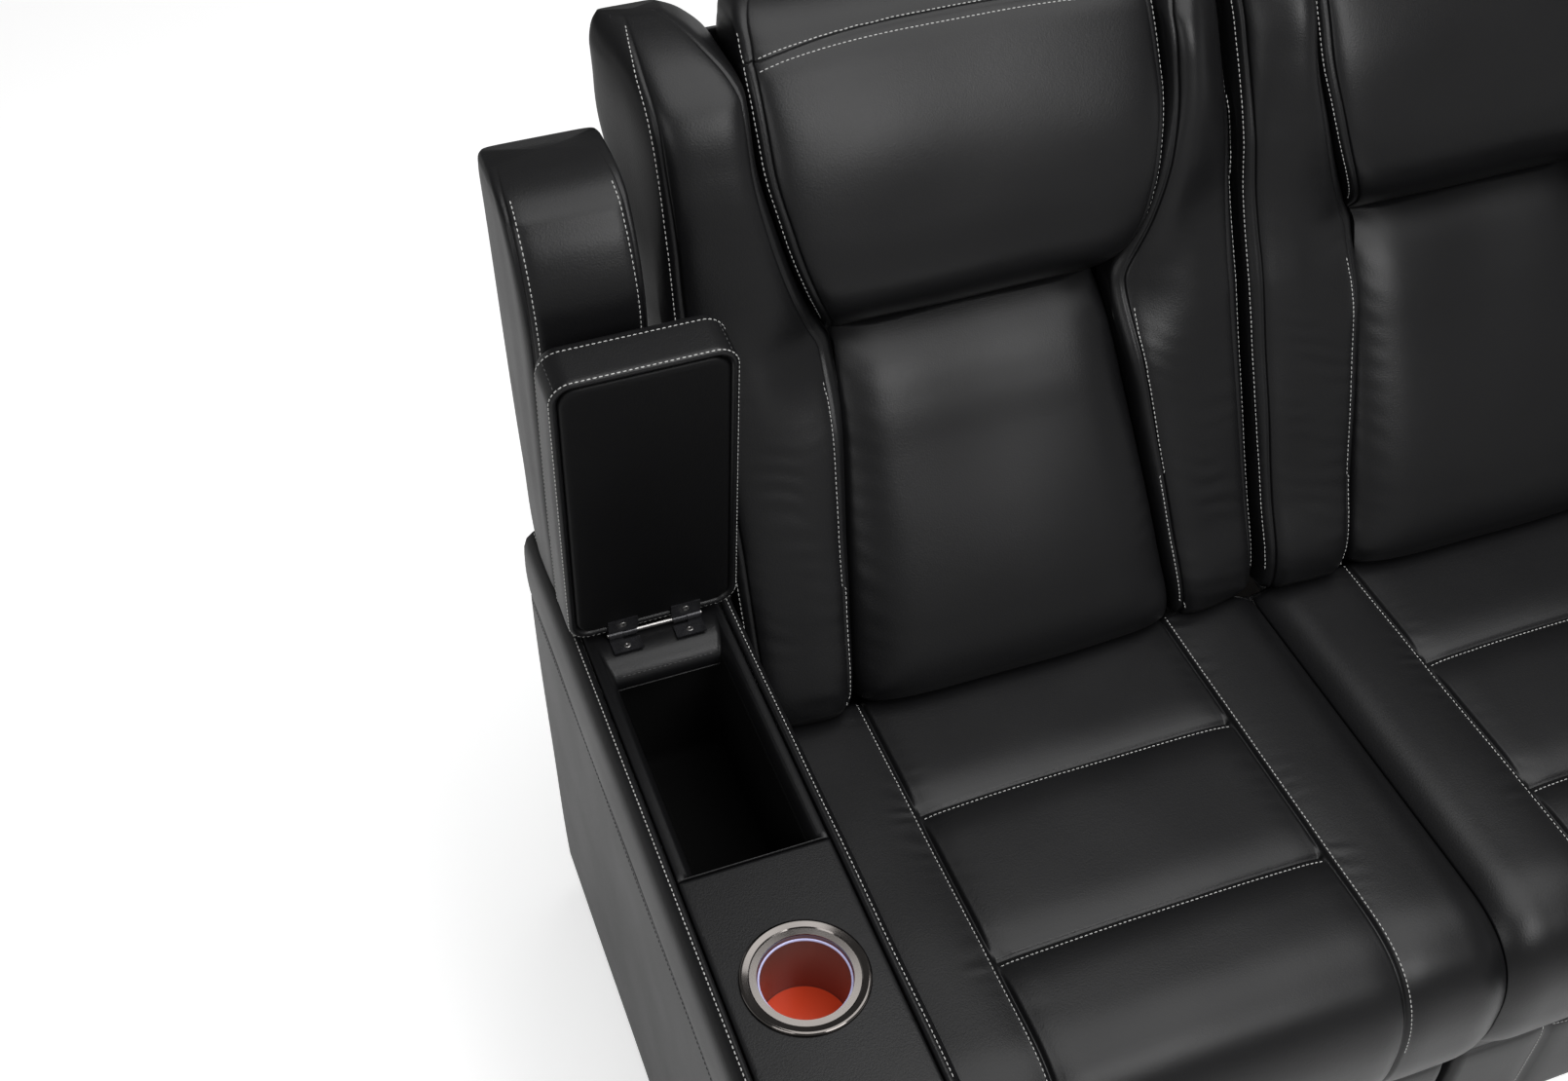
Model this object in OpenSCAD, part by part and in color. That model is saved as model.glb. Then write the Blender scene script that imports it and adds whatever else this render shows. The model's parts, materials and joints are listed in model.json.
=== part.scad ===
// Corner sofa: storage arm, power recliner, fixed seat and chaise, in one upholstered suite.
// Millimetres. X runs along the back, the front looks towards -Y, Z is up.
// The origin lies on the floor under the middle of the whole sofa.

/* [Overall] */
// Depth of the two seats, from the front of the arm to the rear of the back
sofa_d = 950; // [930:10:1000]
// Reach of the chaise in front of the arms
chaise_reach = 650; // [560:10:760]
// Height of the arm deck above the floor
deck_h = 620; // [610:5:650]
// Height of the seat crest above the floor
seat_h = 450; // [445:1:460]
// Height of the headrest top above the floor
top_h = 1118; // [1105:1:1140]
// Width of one seat, with its share of the gaps
seat_pitch = 602; // [590:2:640]
// Gap between neighbouring cushions
seat_gap = 4; // [3:0.5:8]

/* [Arms] */
// Width of an arm over its padding
arm_w = 173; // [165:1:200]
// Gap between an arm and the first seat
arm_gap = 6; // [5:0.5:12]
// Length of an arm from front to rear
arm_d = 788; // [780:2:800]
// Height of the arm covers above the floor
arm_clear = 50; // [40:5:56]
// Thickness of the padded arm covers
arm_pad = 20; // [16:1:24]
// Radius of the round at the front of the arm top
arm_round = 60; // [30:5:80]
// Width of the upright wing behind each arm
wing_w = 114; // [100:1:150]
// Thickness of the timber boards in the arms
board_t = 15; // [12:1:18]

/* [Storage arm] */
// Distance of the cup holder from the front of the arm
cup_y = 188; // [170:2:192]
// Outer diameter of the cup holder flange
flange_d = 112; // [106:1:116]
// Inner diameter of the cup
cup_bore = 82; // [76:1:88]
// Depth of the cup below the deck
cup_depth = 78; // [60:1:100]
// Wall of the cup and of the storage bin
bin_wall = 2.5; // [2:0.5:3]
// Front end of the storage well
well_y0 = 313; // [305:1:330]
// Distance from the rear end of the storage well to the lid hinge
well_rear = 28; // [26:1:50]
// Width of the storage well
well_w = 114; // [90:2:116]
// Depth of the storage well
well_depth = 170; // [120:5:220]
// Distance of the lid hinge from the rear of the arm
hinge_back = 178; // [176:1:182]
// Diameter of the hinge barrel
barrel_d = 9; // [8:0.5:10]
// Length of the hinge from end to end
hinge_w = 94; // [80:2:110]
// Diameter of the rod in the hinge
rod_d = 5; // [4:0.2:6]
// Distance from the cup holder flange to the front of the closed lid
lid_gap = 16.5; // [10:0.5:30]
// Thickness of the padded lid
lid_t = 64; // [50:1:66]
// Angle of the opened lid above the closed one
lid_open = 85; // [70:1:88]

/* [Seat] */
// Thickness of a seat cushion over its springs
cushion_t = 105; // [95:1:110]
// Depth of the cushion nose in front of the frame
nose_y = 67; // [64:1:72]
// Half width of the middle panel between the two long seams
panel_half = 180; // [160:2:200]
// Spacing of the sewn channels
channel_pitch = 184; // [170:2:190]
// Depth of a sewn channel
channel_dip = 9; // [4:1:12]

/* [Back] */
// Lean of the back cushions from upright
back_lean = 22; // [20:0.5:23]
// Thickness of the lumbar cushion
lumbar_t = 84; // [70:1:88]
// Half width of the lumbar cushion at the seat
lumbar_low = 190; // [180:1:200]
// Half width of the lumbar cushion below the headrest
lumbar_high = 151; // [140:1:165]
// Half width of the headrest at its widest
head_half = 213; // [200:1:220]
// Height of the crease below the headrest
crease_h = 803; // [790:1:815]
// Thickness of the rear cover of a back
cover_t = 8; // [6:1:10]

/* [Recliner] */
// Angle that the back reclines through
recline_deg = 28; // [20:1:28]
// Distance from the back pivot up to its guide pin
guide_r = 130; // [124:1:132]
// Distance of the back pivot from the front of the arm
pivot_y = 660; // [656:1:664]
// Height of the back pivot above the floor
pivot_z = 290; // [286:1:292]
// Diameter of the back pivot pins
pivot_d = 16; // [12:1:18]
// Diameter of the guide pins
guide_d = 12; // [10:1:13]
// Running clearance of a pin in its bore, on the radius
pin_clear = 0.06; // [0.04:0.01:0.08]
// Diameter of the footrest drive tube
tube_d = 25; // [22:1:28]
// Diameter of the footrest link pins
link_pin = 10; // [8:1:11]
// Width of the footrest link bars
link_w = 22; // [20:1:24]
// Length of the footrest crank bars
crank_l = 175; // [174:0.5:176]
// Length of the footrest link bars
link_l = 185; // [184:0.5:186]
// Thickness of the footrest board
foot_board_t = 15; // [12:1:18]
// Height of the footrest board
foot_board_h = 190; // [170:2:192]

/* [Timber and steel] */
// Height of the underside of the base rails above the floor
rail_z = 60; // [56:1:64]
// Height of the base rails themselves
rail_h = 110; // [100:2:112]
// Width of a base rail
rail_w = 41; // [35:1:41]
// Thickness of the steel side plates
plate_t = 8; // [6:1:8]
// Diameter of a foot
foot_d = 46; // [40:2:50]

/* [Hidden] */
$fn = 48;

total_w = 2 * arm_w + 2 * arm_gap + 3 * seat_pitch;
total_d = sofa_d + chaise_reach;
soft_gap = 0.3;
joint_gap = 0.05;
seat_half = (seat_pitch - seat_gap) / 2;
web_t = 2.4;
frame_top = seat_h - cushion_t - web_t - 2 * soft_gap;
headrest_t = 73;
seat_rear = 592;
tail_l = 96;
hinge_y = arm_d - hinge_back;
well_y1 = hinge_y - well_rear;
lid_rear = -barrel_d / 2 - 1;
lid_l = hinge_y + lid_rear - cup_y - flange_d / 2 - lid_gap;
back_y0 = 581;
back_slope = tan(back_lean);
bolster_low_z = seat_h + 4;
cover_low = 256;
cover_high = top_h - 56;
cover_slope = 0.15;
cover_y0 = sofa_d - cover_t - cover_slope * (cover_high - cover_low);
base_rear = cover_y0 - 12;
leather = [0.11, 0.11, 0.12];
leather_side = [0.20, 0.20, 0.21];
timber = [0.72, 0.56, 0.36];
steel = [0.45, 0.46, 0.48];
black_plastic = [0.06, 0.06, 0.065];
nickel = [0.42, 0.39, 0.37];

// Places of the linkages, all in the seat's own frame.
guide_y = pivot_y - guide_r * sin(recline_deg / 2);
guide_z = pivot_z + guide_r * cos(recline_deg / 2);
slide_travel = 2 * guide_r * sin(recline_deg / 2);
crank_y = 255;
crank_z = 215;
foot_y = 170;
foot_z = 165;
crank_reach = norm([foot_y - crank_y, foot_z - crank_z]);
crank_a = acos((pow(crank_l, 2) + pow(crank_reach, 2) - pow(link_l, 2)) / (2 * crank_l * crank_reach));
crank_dir = atan2(foot_z - crank_z, foot_y - crank_y) + crank_a;
elbow_y = crank_y + crank_l * cos(crank_dir);
elbow_z = crank_z + crank_l * sin(crank_dir);
foot_front = 95;
foot_pad_t = foot_y - 20 - foot_board_t - foot_front - soft_gap;
foot_low = 60;
rear_board_top = 222;
bar_t = 6;
plate_x = seat_half - 81;
crank_x = plate_x - bar_t - 13;
link_x = crank_x - bar_t - 3;
lug_x = link_x - bar_t - 3;
arm_in_x = seat_half - 29;
back_arm_t = 12;
bracket_x = arm_in_x + back_arm_t + 4;
bracket_t = 6;
rail_x = seat_half - 54.5;
rail_y0 = 155;
cross_y1 = seat_rear + 18;
runner_z = 141;
rod_y0 = 480;
motor_y0 = 560;
motor_y1 = 738;

// Helpers

function spow(v, e) = sign(v) * pow(abs(v), e);

// A closed ring on a superellipse, at height z, with half sizes hx and hy.
function oval(n, cx, cy, hx, hy, z, p) =
    [for (i = [0 : n - 1]) let (a = 360 * (i + 0.5) / n)
        [cx + hx * spow(cos(a), 2 / p), cy + hy * spow(sin(a), 2 / p), z]];

// The mean point of a ring.
function middle(r) = [for (k = [0 : 2]) [for (q = r) q[k]] * [for (q = r) 1 / len(r)]];

// A closed skin through rings of equally many points, from the first ring to the last.
// Each end is a fan about its own middle point.
module loft(rings, first, last) {
    n = len(rings[0]);
    m = len(rings);
    points = concat([for (r = rings) each r], [first, last]);
    walls = [for (i = [0 : m - 2], j = [0 : n - 1]) let (k = (j + 1) % n)
        each [[i * n + j, (i + 1) * n + k, i * n + k],
              [i * n + j, (i + 1) * n + j, (i + 1) * n + k]]];
    low = [for (j = [0 : n - 1]) [m * n, j, (j + 1) % n]];
    high = [for (j = [0 : n - 1]) [m * n + 1, (m - 1) * n + (j + 1) % n, (m - 1) * n + j]];
    polyhedron(points, concat(walls, low, high));
}

// An upright pillow: each station is [z, front y, rear y, left x, right x].
module pillow(stations, n = 20, p = 4) {
    rings = [for (s = stations)
        oval(n, (s[3] + s[4]) / 2, (s[1] + s[2]) / 2, (s[4] - s[3]) / 2, (s[2] - s[1]) / 2, s[0], p)];
    loft(rings, middle(rings[0]), middle(rings[len(rings) - 1]));
}

// A plate in the YZ plane, from x0 to x0 + t, cut to the given outline.
module side_plate(x0, t, outline) {
    translate([x0, 0, 0]) rotate([90, 0, 90]) linear_extrude(t) polygon(outline);
}

// A straight pin or bore along X.
module pin_x(x0, x1, y, z, d) {
    translate([x0, y, z]) rotate([0, 90, 0]) cylinder(h = x1 - x0, d = d);
}

// A block from its lowest to its highest corner.
module block(a, b) {
    translate(a) cube(b - a);
}

// The sofa's own frame: x from the left side, y from the front of the arms.
module sofa() {
    translate([-total_w / 2, (chaise_reach - sofa_d) / 2, 0]) children();
}

// The frame of seat k, with x = 0 in the middle of the seat.
module seat(k) {
    sofa() translate([arm_w + arm_gap + seat_pitch * (k - 0.5), 0, 0]) children();
}

// The right arm is the left one, mirrored.
module right_side() {
    sofa() translate([total_w, 0, 0]) mirror([1, 0, 0]) children();
}

module both_sides() {
    children();
    mirror([1, 0, 0]) children();
}

// Arms

arm_outline = concat(
    [[0, arm_clear], [arm_d, arm_clear], [arm_d, deck_h]],
    [for (i = [0 : 8]) let (a = 90 + 90 * i / 8)
        [arm_round + arm_round * cos(a), deck_h - arm_round + arm_round * sin(a)]]);
deck_z = deck_h - arm_pad;
cup_floor = 4;
mat_t = 1.5;
shelf_z = deck_h - cup_depth - cup_floor - soft_gap;
well_x = arm_w / 2;
wing_h = 448;

module arm_frame(storage) {
    x0 = arm_pad + soft_gap;
    x1 = arm_w - arm_pad - soft_gap;
    y0 = arm_pad + soft_gap;
    y1 = arm_d - soft_gap;
    top = deck_z - soft_gap;
    g = joint_gap;
    color(timber) {
        block([x0, y0, rail_z], [x1, y1, rail_z + board_t]);
        block([x0, y0, rail_z + board_t + g], [x1, y0 + board_t, top - arm_round]);
        block([x0, y1 - board_t, rail_z + board_t + g], [x1, y1, top]);
        for (x = [x0, x1 - board_t])
            block([x, arm_round, rail_z + board_t + g],
                  [x + board_t, y1 - board_t - g, storage ? top - well_depth : top]);
        if (storage)
            block([x0, cup_y - flange_d / 2, shelf_z - board_t], [x1, cup_y + flange_d / 2, shelf_z]);
    }
}

module arm_panels() {
    color(leather_side) {
        side_plate(0, arm_pad, arm_outline);
        side_plate(arm_w - arm_pad, arm_pad, arm_outline);
    }
}

// The padded cover that rolls over the front of the arm.
module arm_front() {
    r1 = arm_round;
    r0 = arm_round - arm_pad;
    outline = concat(
        [[0, arm_clear]],
        [for (i = [0 : 8]) let (a = 180 - 90 * i / 8) [r1 + r1 * cos(a), deck_h - r1 + r1 * sin(a)]],
        [for (i = [0 : 8]) let (a = 90 + 90 * i / 8) [r1 + r0 * cos(a), deck_h - r1 + r0 * sin(a)]],
        [[arm_pad, arm_clear]]);
    color(leather) side_plate(arm_pad + joint_gap, arm_w - 2 * arm_pad - 2 * joint_gap, outline);
}

module arm_deck(storage) {
    g = joint_gap;
    color(leather) difference() {
        block([arm_pad + g, arm_round + g, deck_z], [arm_w - arm_pad - g, arm_d, deck_h]);
        if (storage) {
            block([well_x - well_w / 2, well_y0, deck_z - 1], [well_x + well_w / 2, well_y1, deck_h + 1]);
            translate([well_x, cup_y, deck_z - 1]) cylinder(h = arm_pad + 2, d = cup_bore + 2 * bin_wall + 1);
        }
    }
}

// The upright wing behind the arm, which closes the side of the back.
module wing() {
    x0 = 5;
    x1 = x0 + wing_w;
    z0 = deck_h + soft_gap;
    z1 = deck_h + wing_h;
    fronts = [[0, 12], [0.03, 2], [0.27, 0], [0.56, -8], [0.74, -12],
        [0.85, -6], [0.93, 8], [0.975, 26], [1, 66]];
    color(leather) pillow([for (s = fronts) let (in = s[0] == 0 || s[0] == 1 ? 7 : 0)
        [z0 + s[0] * (z1 - z0), arm_d - 112 + s[1], arm_d - 30 + 46 * s[0] - in, x0 + in, x1 - in]], 16, 6);
}

module well_liner() {
    w = well_w / 2 - soft_gap;
    color(black_plastic) difference() {
        block([well_x - w, well_y0 + soft_gap, deck_h - well_depth],
              [well_x + w, well_y1 - soft_gap, deck_h]);
        block([well_x - w + bin_wall, well_y0 + soft_gap + bin_wall, deck_h - well_depth + bin_wall],
              [well_x + w - bin_wall, well_y1 - soft_gap - bin_wall, deck_h + 1]);
    }
}

module at_cup() {
    sofa() translate([well_x, cup_y, deck_h]) children();
}

// A stepped ring with a rolled outer edge and an inner lip.
module cup_flange() {
    r0 = cup_bore / 2;
    r1 = flange_d / 2;
    color(nickel) at_cup() rotate_extrude($fn = 96)
        polygon(concat([[r0, 0.1], [r1, 0.1], [r1, 1.2]],
            [for (a = [0 : 15 : 90]) [r1 - 3 + 3 * cos(a), 1.2 + 3 * sin(a)]],
            [[r0 + 7, 3.4], [r0 + 6, 2.4], [r0, 2.4]]));
}

module cup_body() {
    r = cup_bore / 2;
    color("firebrick") at_cup() difference() {
        translate([0, 0, -cup_depth - cup_floor])
            cylinder(h = cup_depth + cup_floor, r = r + bin_wall, $fn = 96);
        translate([0, 0, -cup_depth]) cylinder(h = cup_depth + 1, r = r, $fn = 96);
        translate([0, 0, -cup_depth - mat_t - 0.1]) cylinder(h = cup_floor, r = r - 0.6, $fn = 96);
    }
}

module cup_mat() {
    color("orangered") at_cup() translate([0, 0, -cup_depth - mat_t - 0.05])
        cylinder(h = mat_t, r = cup_bore / 2 - 0.7, $fn = 96);
}

// Lid, drawn closed and turned open about its hinge

hinge_z = deck_h + 5;

module opened() {
    sofa() translate([0, hinge_y, hinge_z]) rotate([-lid_open, 0, 0]) children();
}

leaf_l = 22;
leaf_t = 1.5;
leaf_w = 30;
knuckle = 14;
lid_under = -1;
lid_board_t = 12;

module lid_board() {
    color(black_plastic) opened()
        block([10, lid_rear - lid_l + 8, lid_under], [arm_w - 10, lid_rear - 2, lid_under + lid_board_t]);
}

module lid_cushion() {
    z0 = lid_under + lid_board_t + soft_gap;
    y0 = lid_rear - lid_l;
    rise = lid_under + lid_t - z0;
    levels = [[0, 3], [0.1, 0.5], [0.5, 0], [0.72, 0.5], [0.88, 5], [0.97, 16], [1, 34]];
    color(leather) opened()
        pillow([for (s = levels)
            [z0 + rise * s[0], y0 + s[1], lid_rear - s[1], 1 + s[1], arm_w - 1 - s[1]]], 24, 9);
}

// Two leaves along the hinge axis; near and far are the outer and inner knuckle of each pair.
module leaves(z_leaf, x_first) {
    for (s = [-1, 1]) {
        outer = well_x + s * hinge_w / 2;
        x0 = min(outer + s * -x_first, outer + s * -(x_first + knuckle));
        plate = min(outer, outer - s * leaf_w);
        difference() {
            union() {
                block([plate, -leaf_l, z_leaf], [plate + leaf_w, -barrel_d / 2 - 1.5, z_leaf + leaf_t]);
                block([x0, -barrel_d / 2 - 2, z_leaf], [x0 + knuckle, -rod_d / 2 - 0.6, z_leaf + leaf_t]);
                pin_x(x0, x0 + knuckle, 0, 0, barrel_d);
            }
            pin_x(x0 - 1, x0 + knuckle + 1, 0, 0, rod_d + 2 * pin_clear);
        }
    }
}

module hinge_leaves_arm() {
    color(steel) sofa() translate([0, hinge_y, hinge_z]) leaves(deck_h - hinge_z + 0.1, 0);
}

module hinge_leaves_lid() {
    color(steel) opened() leaves(lid_under - leaf_t, knuckle + 0.4);
}

module hinge_rod() {
    color("silver") sofa() translate([0, hinge_y, hinge_z])
        pin_x(well_x - hinge_w / 2 - 1, well_x + hinge_w / 2 + 1, 0, 0, rod_d);
}

// Switch with two push buttons, on the inner face of the storage arm

switch_y = 190;
switch_z = 540;
switch_t = 4;
button_d = 18;
button_pitch = 34;

module switch_plate() {
    color(black_plastic) sofa() translate([arm_w, switch_y, switch_z]) difference() {
        block([joint_gap, -40, -18], [switch_t, 40, 18]);
        for (s = [-1, 1]) pin_x(1, switch_t + 1, s * button_pitch / 2, 0, button_d + 0.6);
    }
}

module button(s) {
    color(nickel) sofa() translate([arm_w, switch_y, switch_z])
        pin_x(2.6, switch_t + 2, s * button_pitch / 2, 0, button_d);
}

// Seat cushions

channel_y = [for (k = [0 : 5]) 429 - k * channel_pitch];

nose_low = seat_h - 181;
nose_roll = 62;

function bell(d, w) = exp(-(d / w) * (d / w));

// Fall of the cushion towards its left and right edges.
function edge_fall(x) = let (t = max(0, (abs(x) - seat_half + 46) / 46)) pow(t, 2.6);

// Height of the cushion top, with its crown, its seams and n sewn channels.
function seat_top(x, y, n) = let (inside = abs(x) < panel_half - 2 ? 1 : 0)
    seat_h + inside * 4 * cos(90 * x / panel_half) - 3 * bell(abs(x) - panel_half, 8) - 16 * edge_fall(x)
    - inside * channel_dip * [for (k = [0 : n - 1]) bell(y - channel_y[k], 10)] * [for (k = [0 : n - 1]) 1];

// One slice of a seat cushion: along the top, round the nose, under it and back to the rear.
function seat_slice(x, nose, n) =
    let (mid = nose + 108, low = seat_h - 115, top = seat_top(x, mid, n), back_in = nose + 9 * edge_fall(x),
        tail = abs(x) < seat_half - 34 ? tail_l : 0, base = seat_h - cushion_t,
        ys = concat([seat_rear - 2, seat_rear - 70],
            [for (k = [0 : n - 1]) each [channel_y[k] + 15, channel_y[k], channel_y[k] - 15,
                channel_y[k] - channel_pitch / 2]]))
    [for (q = concat(
        [for (i = [0 : len(ys) - 2]) [ys[i], seat_top(x, ys[i], n) - (i == 0 ? 6 : 0)]],
        [for (a = [90, 115, 138, 160, 182, 206]) [mid + (mid - back_in) * spow(cos(a), 0.77),
            low + (a < 180 ? top - low : 115) * spow(sin(a), 0.77)]],
        [[nose + 56, nose_low], [nose + nose_roll, base], [seat_rear, base], [seat_rear, base + 58],
         [seat_rear + tail, base + 61], [seat_rear + tail, base + 84], [seat_rear, base + 87]]))
        [x, q[0], q[1]]];

module seat_cushion(nose, n) {
    half = [90, panel_half - 12, panel_half, panel_half + 12, 240,
        seat_half - 37, seat_half - 32, seat_half - 8, seat_half];
    xs = concat([for (i = [len(half) - 1 : -1 : 0]) -half[i]], [0], half);
    cap = [nose + 45, seat_h - cushion_t + 20];
    color(leather) loft([for (x = xs) seat_slice(x, nose, n)],
        [-seat_half, cap[0], cap[1]], [seat_half, cap[0], cap[1]]);
}

// Straps across the seat, from y0 to y1, with half length hx.
module webbing(hx, y0, y1) {
    n = floor((y1 - y0) / 90);
    step = (y1 - y0) / n;
    color("dimgray") for (i = [0 : n - 1])
        block([-hx, y0 + step * (i + 0.2), frame_top + soft_gap],
              [hx, y0 + step * (i + 0.8), frame_top + soft_gap + web_t]);
}

// Backs

function back_y(z) = back_y0 + back_slope * (z - seat_h);

flange_t = 6;
back_top = top_h - 118;

function cover_y(z) = cover_y0 + cover_slope * (z - cover_low);

// Rear of a cushion: a given thickness in front of the steel frame, and up to the cover above it.
function cushion_rear(z, t) = z > back_top + 4 ? cover_y(min(z, cover_high)) - 1 : back_y(z) + t;

module lumbar_cushion() {
    levels = [[0, -16, 20], [0.05, -32, 6], [0.25, -32, 0], [0.5, -20, 0],
        [0.75, -2, 0], [0.92, 20, 4], [1, 46, 16]];
    rise = crease_h - soft_gap - bolster_low_z;
    color(leather) pillow([for (s = levels)
        let (z = bolster_low_z + s[0] * rise, w = lumbar_low + (lumbar_high - lumbar_low) * s[0] - s[2] / 3)
        [z, back_y(z) + s[1], back_y(z) + lumbar_t - s[2] / 2, -w, w]], 20, 5);
}

module headrest() {
    rise = top_h - crease_h;
    span = head_half - lumbar_high;
    levels = [[crease_h, 50, 3, 0.05], [crease_h + 0.07 * rise, 22, 0, 0.25],
        [crease_h + 0.2 * rise, -16, 0, 0.5], [crease_h + 0.42 * rise, -27, 0, 0.8],
        [back_top + 3, -25, 0, 1], [back_top + 5, -25, 0, 1],
        [crease_h + 0.8 * rise, -10, 1, 1], [crease_h + 0.9 * rise, 6, 3, 0.97],
        [crease_h + 0.97 * rise, 32, 8, 0.86], [top_h, 64, 16, 0.6]];
    color(leather) pillow([for (s = levels) let (z = s[0], w = lumbar_high + span * s[3])
        [z, back_y(z) + s[1], cushion_rear(z, headrest_t) - s[2], -w, w]], 20, 4);
}

// Side cushions of a back; flare widens the one beside an arm, above the arm.
// Levels: height, front, share of the headrest's spread, inner inset, outer inset.
module bolsters(flare_left, flare_right) {
    rise = top_h - crease_h;
    levels = [[bolster_low_z, -12, 0, 0, 7], [bolster_low_z + 16, -26, 0, 0, 0], [seat_h + 110, -22, 0, 0, 0],
        [seat_h + 240, -13, 0, 0, 0], [crease_h, -8, 0.05, 0, 0], [crease_h + 0.05 * rise, -6, 0.2, 0, 0],
        [crease_h + 0.2 * rise, -6, 0.5, 0, 0], [crease_h + 0.42 * rise, -18, 0.8, 0, 0],
        [back_top + 3, -26, 1, 0, 0], [back_top + 5, -26, 1, 0, 0], [crease_h + 0.8 * rise, -20, 1, 0, 0],
        [crease_h + 0.86 * rise, -5, 1, 8, 0], [crease_h + 0.905 * rise, 15, 1, 22, 2],
        [crease_h + 0.935 * rise, 42, 1, 36, 6], [crease_h + 0.955 * rise, 72, 1, 52, 12]];
    for (s = [-1, 1]) color(leather)
        pillow([for (q = levels)
            let (z = q[0], t = min(1, (z - bolster_low_z) / (crease_h - bolster_low_z)),
                inner = lumbar_low + (lumbar_high - lumbar_low) * t
                    + (head_half - lumbar_high) * q[2] + soft_gap + q[3],
                flare = (s < 0 ? flare_left : flare_right) * min(1, max(0, (z - crease_h + 43) / 90)),
                outer = seat_half - 0.5 + flare - q[4],
                a = min(s * inner, s * outer), b = max(s * inner, s * outer))
            [z, back_y(z) + q[1], cushion_rear(z, lumbar_t + 3.6 - 22 * t), a, b]], 12, 3.4);
}

// Steel frame of a back: two side arms and two cross bars.
module back_frame(fixed) {
    g = joint_gap;
    rise = 0.332;
    arm_y = pivot_y + 30;
    z0 = seat_h - 10;
    z1 = back_top;
    lug = pivot_d / 2 + 10;
    foot = [[arm_y, guide_z + 15], [guide_y - 15, guide_z + 15], [guide_y - 15, guide_z - 15],
        [pivot_y - lug, guide_z - 25], [pivot_y - lug, pivot_z - lug], [pivot_y + lug, pivot_z - lug],
        [pivot_y + lug, pivot_z + 20]];
    outline = concat([[arm_y, z0]], fixed ? [] : foot,
        [[arm_y + 26, z0], [arm_y + 26 + rise * (z1 - z0), z1], [arm_y + rise * (z1 - z0), z1]]);
    color(steel) {
        both_sides() {
            if (fixed)
                block([arm_in_x, arm_y, rail_z + rail_h + soft_gap],
                      [arm_in_x + back_arm_t, arm_y + 30, z0 - g]);
            difference() {
                side_plate(arm_in_x, back_arm_t, outline);
                if (!fixed)
                    pin_x(arm_in_x - 1, arm_in_x + back_arm_t + 1, pivot_y, pivot_z, pivot_d + 2 * pin_clear);
            }
            if (!fixed)
                pin_x(arm_in_x + back_arm_t + g, bracket_x + bracket_t + 2, guide_y, guide_z, guide_d);
        }
        block([-arm_in_x + g, back_y(z0 + 60) + lumbar_t + soft_gap, z0 + 30],
              [arm_in_x - g, arm_y + 32, z0 + 60]);
        block([-arm_in_x + g, back_y(z1 - 15) + headrest_t + soft_gap, z1 - 45],
              [arm_in_x - g, cover_y(z1 - 45) - soft_gap, z1 - 15]);
    }
}

// Rear cover of a back: one sloping panel and a flange down each side.
module back_cover() {
    g = joint_gap;
    w = seat_half - 1.5;
    color(leather_side) {
        side_plate(-w, 2 * w, [for (q = [[0, cover_low], [cover_t, cover_low], [cover_t, cover_high],
            [0, cover_high]]) [cover_y(q[1]) + q[0], q[1]]]);
        both_sides() side_plate(w - flange_t, flange_t, [
            [cover_y(cover_low) - g, cover_low], [cover_y0 - 40, cover_low], [700, 440], [700, bolster_low_z],
            [back_y(back_top) + 82, back_top], [cover_y(back_top) - g, back_top]]);
    }
}

// Recliner mechanism

foot_h = foot_board_h;
track_x = plate_x + plate_t + 1;
track_t = 3;

// Blocks that join the rails of a seat to its neighbours on both sides.
module joining_blocks(left_end, right_end) {
    g = joint_gap;
    x0 = rail_x + rail_w + g;
    for (y = [300, 700]) {
        block([x0, y, rail_z + 20], [right_end, y + 40, rail_z + 70]);
        block([-left_end, y, rail_z + 20], [-x0, y + 40, rail_z + 70]);
    }
}

beside_seat = seat_pitch / 2 - soft_gap / 2;
beside_arm = seat_pitch / 2 + arm_gap - soft_gap;

module base_rails_1() {
    top = rail_z + rail_h;
    g = joint_gap;
    half = seat_half - 1;
    color(timber) {
        both_sides() block([rail_x, rail_y0 + 5, rail_z], [rail_x + rail_w, base_rear, top]);
        for (y = [390, base_rear - 40])
            block([-rail_x + g, y, rail_z], [rail_x - g, y + 40, rail_z + 40]);
        block([-half, base_rear + g, arm_clear], [half, base_rear + 12, rear_board_top]);
        joining_blocks(beside_arm, beside_seat);
    }
    color(steel) both_sides() {
        block([rail_x - track_t, 190, runner_z - 16], [rail_x - g, 700, runner_z + 16]);
        for (z = [runner_z - 16, runner_z + 16 - track_t])
            block([track_x, 190, z], [rail_x - track_t - g, 700, z + track_t]);
        guide_bracket();
    }
}

// Two upright bars, closed above and below: the guide pin of the back rides between them.
module guide_bracket() {
    g = joint_gap;
    slot = guide_d / 2 + 0.4;
    low = guide_z - guide_d / 2 - 3;
    high = pivot_z + guide_r + guide_d / 2 + 3;
    for (y = [guide_y - 20, guide_y + slot])
        block([bracket_x, y, rail_z + 40], [bracket_x + bracket_t, y + 20 - slot, high + 5]);
    block([bracket_x, guide_y - slot + g, rail_z + 40], [bracket_x + bracket_t, guide_y + slot - g, low]);
    block([bracket_x, guide_y - slot + g, high], [bracket_x + bracket_t, guide_y + slot - g, high + 5]);
}

plate_y0 = 135;

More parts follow.
